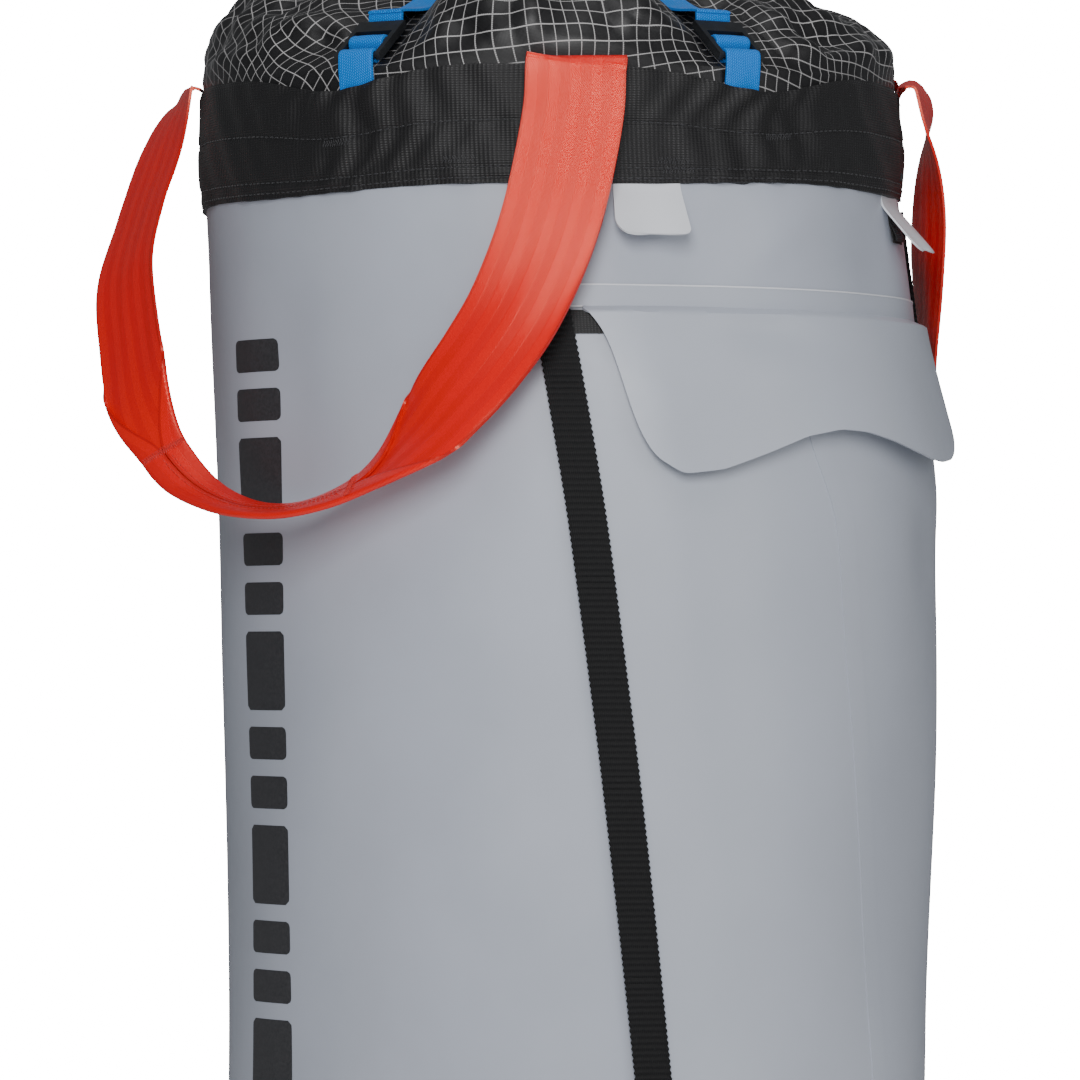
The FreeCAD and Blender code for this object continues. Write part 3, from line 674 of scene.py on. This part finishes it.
def collar_lift(phi, share):
    """How far the collar stands off the bag; share is 0 at its top edge and 1 at its bottom edge."""
    p = np.radians(phi)
    lift = (2.4 + 0.55 * np.sin(p * 9 + 4 * share) + 0.4 * np.sin(p * 17 - 5 * share)) * MM
    for centre, size in COLLAR_PUCKERS:
        slope = centre + (share - 0.5) * 5
        lift = lift + 1.9 * MM * size * bump(phi, slope, 2.3) * (0.35 + 0.65 * bump(share, 0.35, 0.4))
    for centre in STRAPS:
        lift = lift + 2.2 * MM * bump(phi, centre, 8) * bump(share, 0.0, 0.32)
    near = sum(bump(phi, centre, 17) for centre in STRAPS)
    creases = np.sin(p * 62 + 5.5 * share + 1.6 * np.sin(share * 7 + p * 4))
    lift = lift + 1.25 * MM * near * creases * (1 - 0.55 * share)
    lift = lift + 0.35 * MM * np.sin(p * 41 - 9 * share + 2 * np.sin(p * 7))
    lift = lift + 1.6 * MM * bump(phi, 30, 30) * bump(share, 0.55, 0.3)
    for seam in COLLAR_SEAMS:
        lift = lift - 0.75 * MM * bump(share, seam, 0.030)
    return np.maximum(lift, 1.3 * MM) - 0.7 * MM * (step(share, 0.94, 1.0) + step(share, 0.04, 0.0))


def on_collar(phi, share, off=0.0):
    top, bottom = collar_top(phi), collar_bottom(phi)
    z = top + (bottom - top) * share
    return on_bag(phi, z, collar_lift(phi, share) + off)


def make_collar():
    share, phi = column(0, 1, 96), across(-180, 180, 600, True)
    points = on_collar(phi, share)[::-1]
    collar = shell("collar_cloth", points, flat_on_bag(phi, points[..., 2]), COLLAR, 2.6 * MM, wrap=True)
    ride(collar, "webbing_black", "collar_webbing")
    lining = patch("collar_inside", 0.622, 0.678, -180, 180, -1.9 * MM, COLLAR, 1.3 * MM, 20, 200, wrap=True)
    ride(lining, "webbing_black", "collar_lining")


def stitches(name, centres, alongs, ups, length, width, material, slot, body="root"):
    """A row of sewn stitches as short rounded bars: arrays of centres, directions and outward normals."""
    sides = np.cross(alongs, ups)
    turn = math.pi * np.arange(5) / 4
    round_part = sides[:, None] * np.cos(turn)[:, None] + ups[:, None] * np.sin(turn)[:, None]
    rings = [centres[:, None] + alongs[:, None] * x * length / 2 + round_part * width / 2 * reach
             for x, reach in ((-1.0, 0.25), (-0.55, 0.9), (0.55, 0.9), (1.0, 0.25))]
    points = np.stack(rings, axis=1).reshape(-1, 3)
    one = [tuple(range(5))[::-1], tuple(range(15, 20))]
    for q in (0, 5, 10):
        one += [(q + k, q + k + 1, q + k + 6, q + k + 5) for k in range(4)] + [(q, q + 5, q + 9, q + 4)]
    faces = [tuple(first + k for k in face) for first in range(0, len(points), 20) for face in one]
    ride(make_object(name, points, faces, points[:, :2], material), slot, body=body)


def sew_collar(name, phi, share, ahead_phi, ahead_share, off, length, width):
    here, ahead = on_collar(phi, share, off), on_collar(phi + ahead_phi, share + ahead_share, off)
    stitches(name, here, unit(ahead - here), polar(1, phi, 0), length, width, BLACK_THREAD, "webbing_black")


BARTACKS = [(-28, 0.80), (-27.2, 0.88), (-62, 0.80), (34, 0.80), (42, 0.47), (42, 0.86), (-83, 0.52), (-9, 0.50),
            (62, 0.80), (118, 0.8), (150, 0.8), (100, 0.5), (164, 0.5)]


def make_collar_stitches():
    for index, share in enumerate(COLLAR_SEAMS):
        sew_collar(f"collar_stitches_{index}", np.arange(-180, 180, 1.28), share, 0.5, 0, 0.1 * MM, 2.9 * MM, 0.75 * MM)
    bars, zig = np.array(BARTACKS), (-1.0) ** np.arange(22)
    phi, share = bars[:, :1] - 2.6 + np.arange(22) * 0.24, bars[:, 1:] + 0.016 * zig
    sew_collar("collar_bartacks", phi.ravel(), share.ravel(), 0.24, -0.05 * np.tile(zig, len(bars)), 0.15 * MM,
               2.2 * MM, 0.5 * MM)


# ---- haul loops
# Centre lines of the two bands as (angle, radius, height): over the collar at one end, down, and back up at the
# other. The left one hangs in front of the bag; the right one stands off it, because the bag leans that way.
HAUL_ROUTE = {
    "left": [
        (-43.3, 181.6, 682.3), (-43.3, 185.2, 683.6), (-43.4, 188.8, 681.8), (-43.6, 190.4, 677.5), (-44.0, 190.9, 655),
        (-46.2, 194, 617), (-48.8, 197, 587), (-52.6, 198.5, 557), (-57, 198.5, 534), (-61.6, 198.5, 515),
        (-66, 198.5, 497.5), (-72, 199.5, 479), (-78, 201, 467), (-86, 202, 459.5), (-94, 203, 459),
        (-102, 204, 464), (-110, 207, 475), (-117, 212, 494), (-122, 218, 519), (-125.5, 221, 552),
        (-128, 222, 585), (-130.5, 214, 616), (-132.3, 207, 637), (-134, 199.5, 659), (-134.7, 192, 676),
        (-135, 188.8, 681.8), (-135, 185.2, 683.6), (-135, 181.6, 682.3)],
    "right": [
        (43.3, 181.6, 682.3), (43.3, 185.2, 685.0), (43.2, 190.5, 686.0), (43.0, 196.0, 679.5), (43.0, 198.0, 660),
        (44.0, 199.0, 620), (46, 198.5, 587), (50.6, 200, 557), (55, 203, 534), (60.6, 206, 515),
        (65, 209, 498.6), (71, 210, 482), (78, 210, 471.4), (86, 210, 464.5), (94, 210, 463.3),
        (102, 210, 468), (110, 211, 478), (117, 215, 496), (122, 219, 520), (125.5, 221, 552),
        (128, 220, 585), (130.5, 213, 616), (132.3, 207, 637), (134, 199.5, 659), (134.7, 192, 676),
        (135, 188.8, 681.8), (135, 185.2, 683.6), (135, 181.6, 682.3)]}
# How far the band has turned about its own length at shares of its way, in degrees.
HAUL_TURN = {
    "left": [(0, 0), (0.10, 4), (0.2, 14), (0.3, 22), (0.36, 40), (0.42, 62), (0.5, 80), (0.58, 78), (0.62, 64),
             (0.66, 46), (0.70, 32), (0.75, 27), (0.8, 30), (0.85, 24), (0.9, 26), (0.94, 30), (0.965, 16), (1, 0)],
    "right": [(0, 0), (0.035, -24), (0.07, 6), (0.12, 16), (0.17, 13), (0.22, 3), (0.3, -4), (0.36, 8), (0.44, 44),
              (0.5, 62), (0.6, 66), (0.7, 56), (0.8, 42), (0.92, 12), (1, 0)]}
HAUL_HALF, HAUL_HINGE, HAUL_BEND, HAUL_THICK = 25.0 * MM, 11.2 * MM, 1.0 * MM, 1.6 * MM


def spline(knots, count):
    """A smooth curve through the knots at even steps of length: (count, n) points."""
    knots = np.array(knots, float)
    p = np.vstack([2 * knots[0] - knots[1], knots, 2 * knots[-1] - knots[-2]])
    fine = []
    for i in range(1, len(p) - 2):
        t = np.linspace(0, 1, 24, endpoint=False)[:, None]
        a, b, c, d = p[i - 1], p[i], p[i + 1], p[i + 2]
        fine.append(0.5 * (2 * b + (c - a) * t + (2 * a - 5 * b + 4 * c - d) * t ** 2
                           + (3 * b - a - 3 * c + d) * t ** 3))
    fine = np.vstack(fine + [knots[-1:]])
    s = np.concatenate([[0], np.cumsum(np.linalg.norm(np.diff(fine, axis=0), axis=1))])
    marks = np.linspace(0, s[-1], count)
    return np.stack([np.interp(marks, s, fine[:, k]) for k in range(fine.shape[1])], axis=-1)


def haul_frame(side, name):
    """Centre line of one haul loop with its along, face and across directions, all (count, 3)."""
    count = 460
    line = spline([polar(r * MM, a, z * MM) for a, r, z in HAUL_ROUTE[name]], count)
    along = unit(np.gradient(line, axis=0))
    out = unit(line * (1, 1, 0))
    over = np.abs(np.sum(out * along, axis=1, keepdims=True)) ** 3
    normal = out * (1 - over) + UP * over
    normal = unit(normal - along * np.sum(normal * along, axis=1, keepdims=True))
    steps, share = np.linspace(0, 1, 801), np.linspace(0, 1, count)
    turns = smoothed(np.interp(steps, *np.array(HAUL_TURN[name]).T), 60, 16)
    turn = np.radians(np.interp(share, steps, turns))[:, None]
    face = normal * np.cos(turn) - side * np.cross(along, normal) * np.sin(turn)
    return line, along, unit(face), unit(np.cross(face, along)), share


def make_haul(side, name):
    """One continuous band. Along its lowest part both edges are folded over its face until they meet."""
    line, along, face, across_band, share = haul_frame(side, name)
    length = float(np.sum(np.linalg.norm(np.diff(line, axis=0), axis=1)))
    share = share[:, None]
    fold = step(share, 0.310, 0.415) * (1 - step(share, 0.645, 0.750))
    over = 0.15 * MM + fold * (HAUL_HALF - HAUL_HINGE)
    hinge = HAUL_HALF - over
    arc = np.minimum(over, math.pi * HAUL_BEND)
    plain, bent, folded = across(0, 1, 10), across(0, 1, 7)[:, 1:], across(0, 1, 6)[:, 1:]
    x = np.concatenate([hinge * plain, hinge + arc * bent, hinge + arc + (over - arc + 0.05 * MM) * folded], axis=1)
    angle = np.concatenate([0 * hinge * plain, arc * bent / HAUL_BEND, arc / HAUL_BEND + 0 * folded], axis=1)
    rest = np.maximum(x - hinge - arc, 0)
    px = np.where(x <= hinge, x, hinge + HAUL_BEND * np.sin(angle)) + rest * np.cos(angle)
    py = HAUL_BEND * (1 - np.cos(angle)) + rest * np.sin(angle)
    px, nx, x = (np.concatenate([-half[:, :0:-1], half], axis=1) for half in (px, -np.sin(angle), x))
    py, ny = (np.concatenate([half[:, :0:-1], half], axis=1) for half in (py, np.cos(angle)))
    cup = 1.6 * MM * (x / HAUL_HALF) ** 2 * np.sin(share * 9.0 + 0.6) + 0.4 * MM * np.sin(x * 230 + share * 34)
    py = py + cup * (1 - fold) * bump(share, 0.5, 0.33)

    def place(off):
        return (line[:, None, :] + (px + nx * off)[..., None] * across_band[:, None, :]
                + (py + ny * off)[..., None] * face[:, None, :])
    uv = pairs(x, share * length)
    band = two_faced("haul_band_" + name, place(HAUL_THICK / 2), place(-HAUL_THICK / 2), uv, HAUL, flip=True, sharp=60)
    body = "haul_loop_" + name
    bend(band, body, (side * 0.160, 0, 0.6845), (side * 0.160, 0, 0.640), "haul_webbing",
         body, "haul_end_back_" + name, "haul_end_front_" + name)
    on_fold = 2 * HAUL_BEND + HAUL_THICK / 2
    zig, width = ((-1.0) ** np.arange(40))[:, None], column(-11.5, 11.5, 40) * MM
    for bar, at_share in enumerate((0.412, 0.650)):
        i = int(at_share * (len(line) - 1))
        centres = line[i] + width * across_band[i] + on_fold * face[i] + zig * 0.5 * MM * along[i]
        stitches(f"haul_bar_{name}_{bar}", centres, unit(along[i] + 0.25 * across_band[i] * zig),
                 np.repeat(face[i][None, :], 40, axis=0), 4.6 * MM, 0.7 * MM, RED_THREAD, "haul_webbing", body)
    index = np.arange(int(0.425 * len(line)), int(0.64 * len(line)), 2)
    top = line[index] + face[index] * (on_fold + 0.1 * MM)
    for number, row in enumerate((-2.6 * MM, 2.6 * MM)):
        stitches(f"haul_seam_{name}_{number}", top + row * across_band[index], along[index], face[index], 2.3 * MM,
                 0.6 * MM, RED_THREAD, "haul_webbing", body)


# ---- skirt, hem and eyelets
DIP = [(180.5, 681), (177.5, 682.2), (172, 685.8), (163, 692.3), (153, 699.5), (128, 713), (96, 724.5), (58, 733),
       (30, 738), (15.5, 741)]
SWELL = [(180.5, 681), (181.5, 689), (180, 700), (175.5, 711), (166, 721), (150, 729.5), (122, 737), (84, 742),
         (44, 743), (15.5, 741)]
LOW = [(180.5, 681), (181.0, 688), (178.5, 697), (173.0, 706), (164, 714), (149, 723), (122, 732), (84, 739),
       (44, 741.5), (15.5, 741)]


def ripples(seed, count, shortest, longest):
    """A smooth random field over the cloth, about -1 to 1: waves of these lengths, in metres, in many directions."""
    rng = np.random.default_rng(seed)
    lengths = np.exp(rng.uniform(math.log(shortest), math.log(longest), count))
    turns, phases = rng.uniform(0, 2 * math.pi, count), rng.uniform(0, 2 * math.pi, count)

    def field(x, y):
        total = 0
        for length, turn, phase in zip(lengths, turns, phases):
            total = total + np.sin((x * math.cos(turn) + y * math.sin(turn)) * 2 * math.pi / length + phase)
        return total / math.sqrt(count / 2)
    return field


def skirt_points(rows, phi):
    """The gathered top: it is pressed down under the four strap runs, stands up between them, and is creased
    where the straps pull on it."""
    dip, swell, low = (spline([(r * MM, z * MM) for r, z in path], rows) for path in (DIP, SWELL, LOW))
    order = sorted(STRAPS)
    share, to_strap = np.zeros_like(phi), np.full_like(phi, 90.0)
    for first, last in zip(order, order[1:] + [order[0] + 360]):
        for turn in (0, -360):
            a, b = first + turn + 4.8, last + turn - 4.8
            inside = (phi > a) & (phi < b)
            share = np.where(inside, np.sin(math.pi * np.clip((phi - a) / (b - a), 0, 1)) ** 0.62, share)
            for strap in (first + turn, last + turn):
                to_strap = np.minimum(to_strap, np.abs(phi - strap))
    lower = bump(phi, 42, 55)
    tall = swell[:, None, :] * (1 - lower[None, :, None]) + low[:, None, :] * lower[None, :, None]
    profile = dip[:, None, :] * (1 - share[None, :, None]) + tall * share[None, :, None]
    s, p, to_strap = column(0, 1, rows), np.radians(phi)[None, :], to_strap[None, :]
    x, y = p * SKIRT_R, s * 0.19
    free = np.clip((to_strap - 5.0) / 7.0, 0, 1)
    room = free * step(s, 0.015, 0.10) * np.clip((profile[..., 0] - 0.018) / 0.05, 0, 1)
    broad, fine = ripples(11, 14, 0.045, 0.10), ripples(23, 16, 0.018, 0.034)
    fold = np.sin((y - 0.035) * 46 + to_strap * 0.055 * np.sign(np.sin(p * 3 + 1)) + broad(x, y))
    crease = 1 - np.abs(np.sin(x * 62 + 1.7 * broad(x, y) + y * 30)) ** 0.6
    pull = bump(to_strap, 9, 11) * bump(s, 0.13, 0.16)
    near_foot = 2.6 * bump(s, 0.05, 0.04) * (0.6 + 0.4 * np.sin(p * 9 + 1))
    lift = (2.3 * broad(x, y) + 0.75 * fine(x, y) + 1.5 * fold - 2.2 * crease * (0.3 + 0.7 * pull)
            + 1.1 * np.sin(p * 44 + 2 * broad(x, y)) * step(s, 0.25, 0.9) + near_foot) * room * MM
    slope = unit(np.gradient(profile, axis=0))
    steps = np.linalg.norm(np.diff(profile, axis=0), axis=2)
    return (polar(profile[..., 0] + lift * slope[..., 1], phi, profile[..., 1] - lift * slope[..., 0]),
            np.concatenate([np.zeros((1, len(phi))), np.cumsum(steps, axis=0)]))


def make_skirt():
    count = 720
    phi = np.linspace(-180, 180, count, endpoint=False)
    points, length = skirt_points(110, phi)
    foot = np.array([0.6565, 0.664, 0.672, 0.6775])[:, None]
    points = np.concatenate([polar(0.1803, phi, foot), points])
    length = np.concatenate([foot - 0.681 + 0 * phi, length])
    warp_u, warp_v = ripples(5, 10, 0.05, 0.12), ripples(6, 10, 0.05, 0.12)
    lobe = np.searchsorted(sorted(STRAPS), phi + 180 / count)
    middle = np.array([-137.5, -47.5, 42.5, 132.5, 222.5])[lobe]
    lie = np.radians(np.array([38.0, -5.0, 7.0, -12.0, 38.0])[lobe])

    def cloth(phi):
        """The grid of the ripstop: each of the four lobes has its own lie."""
        x = np.radians(phi) * SKIRT_R + 0 * length
        u = np.radians(phi - middle) * 0.1805 + 2.2 * MM * warp_u(x, length)
        v = length + 2.2 * MM * warp_v(x, length)
        return pairs(u * np.cos(lie) - v * np.sin(lie), u * np.sin(lie) + v * np.cos(lie))
    skirt = shell("skirt_cloth", points, (cloth(phi), cloth(phi + 360 / count)), RIPSTOP, 0.45 * MM, wrap=True)
    ride(skirt, "ripstop", "skirt", "skirt_band")
    make_hem()


def make_hem():
    """The rolled and pleated channel round the small hole at the top."""
    rows, cols, hole, height = 24, 360, 0.0155, 0.7444
    v, phi = np.linspace(0, 2 * math.pi, rows, endpoint=False)[:, None], across(-180, 180, cols, True)
    p = np.radians(phi)
    tube = (2.9 + 0.55 * np.sin(p * 30) * (0.6 + 0.4 * np.cos(v))) * MM
    outer = polar(hole + tube * np.cos(v), phi, height + tube * np.sin(v))
    i, j = np.arange(rows)[:, None], np.arange(cols)[None, :]
    below, beside = (i + 1) % rows, (j + 1) % cols
    faces = np.stack([i * cols + j, i * cols + beside, below * cols + beside, below * cols + j], axis=-1)
    uv = pairs(p * hole, v * 0.003)
    hem = make_object("skirt_hem_roll", outer, faces.reshape(-1, 4).tolist(), uv, RIPSTOP)
    ride(hem, "ripstop", "skirt_hem")


# ---- top straps
LOCK_R, LOCK_Z, LOCK_SLOPE = 180.0, 687.0, 38.0


def lock_point(along, off):
    slope = math.radians(LOCK_SLOPE)
    return (LOCK_R - along * math.cos(slope) + off * math.sin(slope),
            LOCK_Z + along * math.sin(slope) + off * math.cos(slope))


def strap_mesh(name, path, angle):
    """A webbing strap along a path of (r, z) in millimetres in the upright plane at this angle."""
    half, thick = 10 * MM, 1.25 * MM
    length = sum(math.dist(p, q) for p, q in zip(path, path[1:]))
    count = max(40, int(length / 0.8))
    line = spline(path, count) * MM
    tangent = unit(np.gradient(line, axis=0))
    normal = np.stack([tangent[:, 1], -tangent[:, 0]], axis=-1)
    u = np.linspace(-1, 1, 15)
    edge = 0.22 * MM * bump(np.abs(u), 0.86, 0.10) - 0.12 * MM * bump(np.abs(u), 1.0, 0.05)
    sag = 0.35 * MM * u ** 2

    def place(off):
        flat = line[:, None, :] + normal[:, None, :] * off[None, :, None]
        return flat[..., :1] * polar(1, angle, 0) + flat[..., 1:2] * UP + (u * half)[:, None] * polar(1, angle + 90, 0)
    uv = pairs(u * half, column(0, length * MM, count))
    return two_faced(name, place(thick / 2 + edge - sag), place(-thick / 2 - sag), uv, BLUE)


WEAVE = [(8.4, -3.0), (8.1, -0.6), (9.6, 2.3), (12.0, 3.0), (14.4, 2.3), (16.5, 0.0), (18.5, -2.5), (22.0, -3.3),
         (26.0, -3.3), (29.5, -2.2), (31.6, 0.8), (33.6, 3.0), (36, 3.7)]


def make_top_strap(angle, name, lift):
    near = [(DIP[i][0], DIP[i][1] + 2.0 + extra) for i, extra in ((5, 0.6), (6, 3.0), (7, 7.0))]
    near += [(40, 746.4 + lift / 2), (22, 748.7 + lift)]
    far = [(-r, z) for r, z in near[::-1]] + [(-DIP[i][0] - 1.4, DIP[i][1] + 1.8) for i in (4, 3, 2, 1)]
    path = ([lock_point(*point) for point in WEAVE] + near + [(0, 749.3 + lift)] + far
            + [(-182.6, 682.2), (-181.8, 672), (-181.4, 664)])
    strap = strap_mesh(name + "_top_strap", path, angle)
    (r0, z0), (r1, z1) = lock_point(74, 3), lock_point(33, 3)
    bend(strap, "lock_" + name, polar(r0 * MM, angle, z0 * MM), polar(r1 * MM, angle, z1 * MM), "blue_webbing",
         name + "_strap", name + "_strap_weave", name + "_strap_tails")
    turn = [(LOCK_R + 3.1 * math.sin(math.radians(b)), LOCK_Z + 3.1 * math.cos(math.radians(b)))
            for b in (80, 55, 28, 0, -28, -55, -80, -96)]
    leg = [(181.3, 662), (181.5, 668), (182.2, 674), (183.0, 680), (183.2, 684)]
    stub = strap_mesh(name + "_strap_fold", leg + turn + [(176.9, 684.8), (177.4, 683.6)], angle)
    ride(stub, "blue_webbing", name + "_strap_stub")


# ---- stowed harness
def pad(name, z0, z1, phi0, phi1, low, high, rows, cols, node, material=PADDING, slot="harness_padding"):
    """A flat padded piece between the bag and the sleeve, rounded at its edges and quilted a little."""
    v, t = column(0, 1, rows), across(0, 1, cols)
    z, phi = z0 + (z1 - z0) * v, phi0 + (phi1 - phi0) * t
    edge = np.minimum(np.minimum(v, 1 - v) * (z1 - z0), np.minimum(t, 1 - t) * math.radians(phi1 - phi0) * MEAN_R)
    edge = np.clip(edge / (9 * MM), 0, 1)
    quilt = 1 - 0.18 * bump((z / 0.032) % 1.0, 0.5, 0.10)
    lift = low + (high - low) * (0.25 + 0.75 * np.sqrt(edge * (2 - edge)) * quilt)
    obj = two_faced(name, on_bag(phi, z, lift * MM), on_bag(phi, z, low * MM), flat_on_bag(phi, z), material)
    ride(obj, slot, node)


def make_harness():
    pad("harness_back_pad", 0.080, 0.480, -25, 25, 0.2, 2.3, 90, 60, "back_pad")
    for side, name in SIDES:
        left = side * 16 - 8.5
        pad("harness_strap_" + name, 0.170, 0.480, left, left + 17, 2.6, 4.9, 70, 30, "shoulder_strap_" + name)
    pad("harness_waistbelt", 0.097, 0.160, -22, 23, 2.6, 4.3, 30, 60, "waistbelt")
    for part, *form in (("socket", 0.300, 0.328, -6.5, 6.5, 2.5, 5.1), ("plug", 0.3285, 0.352, -5.5, 5.5, 2.6, 4.6)):
        pad("harness_buckle_" + part, *form, 20, 30, "waistbelt_buckle_" + part, PLASTIC, "buckle_plastic")


# ---- moulded pieces that keep their CAD shape
def dress(node, material):
    """The moulded piece keeps its exact CAD shape and takes this material."""
    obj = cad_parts[node]
    obj.data.materials.clear()
    obj.data.materials.append(material)


# ---- floor, backdrop, lights and camera
def make_stage():
    floor = bpy.data.meshes.new("floor")
    rim = polar(2.2, np.linspace(0, 360, 96, endpoint=False), -0.0006)
    floor.from_pydata(rim.tolist(), [], [tuple(range(96))])
    floor.materials.append(Nodes("floor_white", Base_Color=(0.9, 0.9, 0.9, 1), Roughness=0.9).mat)
    add_object("floor", floor)
    world = bpy.data.worlds.new("white_room")
    world.use_nodes = True
    tree = world.node_tree
    room, sweep = tree.nodes["Background"], tree.nodes.new("ShaderNodeBackground")
    for node, colour, strength in ((room, (0.92, 0.96, 1.0, 1), 0.16), (sweep, (1, 1, 1, 1), 18.0)):
        node.inputs[0].default_value, node.inputs[1].default_value = colour, strength
    seen, mix = tree.nodes.new("ShaderNodeLightPath"), tree.nodes.new("ShaderNodeMixShader")
    sources = (seen.outputs["Is Camera Ray"], room.outputs[0], sweep.outputs[0])
    for source, socket in zip(sources, mix.inputs):
        tree.links.new(source, socket)
    tree.links.new(mix.outputs[0], tree.nodes["World Output"].inputs[0])
    bpy.context.scene.world = world


def area_light(name, azimuth, elevation, distance, size, power):
    """A soft light round the bag; azimuth is counted from the viewer's side, to the viewer's right."""
    a, e, target = math.radians(azimuth), math.radians(elevation), np.array((0, 0, 0.45))
    flat = -FORWARD * math.cos(a) + RIGHT * math.sin(a)
    place = target + distance * (flat * math.cos(e) + UP * math.sin(e))
    light = bpy.data.lights.new(name, "AREA")
    light.shape = "RECTANGLE"
    light.size, light.size_y = size
    light.energy = power
    lamp = add_object(name, light)
    lamp.location = place
    lamp.rotation_euler = (Vector(target) - Vector(place)).to_track_quat("-Z", "Y").to_euler()


def make_camera():
    camera = bpy.data.cameras.new("camera")
    camera.lens = LENS
    camera.sensor_width = 36
    obj = add_object("camera", camera)
    obj.location = -CAMERA_DISTANCE * FORWARD + CAMERA_ASIDE * RIGHT + CAMERA_HEIGHT * UP
    obj.rotation_euler = (math.radians(90 + CAMERA_PITCH), 0, math.radians(VIEW_AZIMUTH))
    bpy.context.scene.camera = obj


for make in (make_body, make_base, make_print, make_sleeve, make_rails, make_weld_strip, make_flap, make_guards,
             make_collar, make_collar_stitches):
    make()
for side, name in SIDES:
    make_haul(side, name)
make_skirt()
make_top_strap(-79.5, "side", 0.0)
make_top_strap(-15.5, "back", 2.6)
make_harness()
for name in ("side_ladder_lock", "back_ladder_lock"):
    dress(name, PLASTIC)
dress("drawcord_eyelets", EYELET)
make_stage()
area_light("key", -3, 20, 2.6, (0.9, 1.3), 50)
area_light("fill_right", 55, 8, 2.8, (1.0, 2.0), 13)
area_light("top", -5, 72, 2.2, (1.4, 1.4), 12)
make_camera()
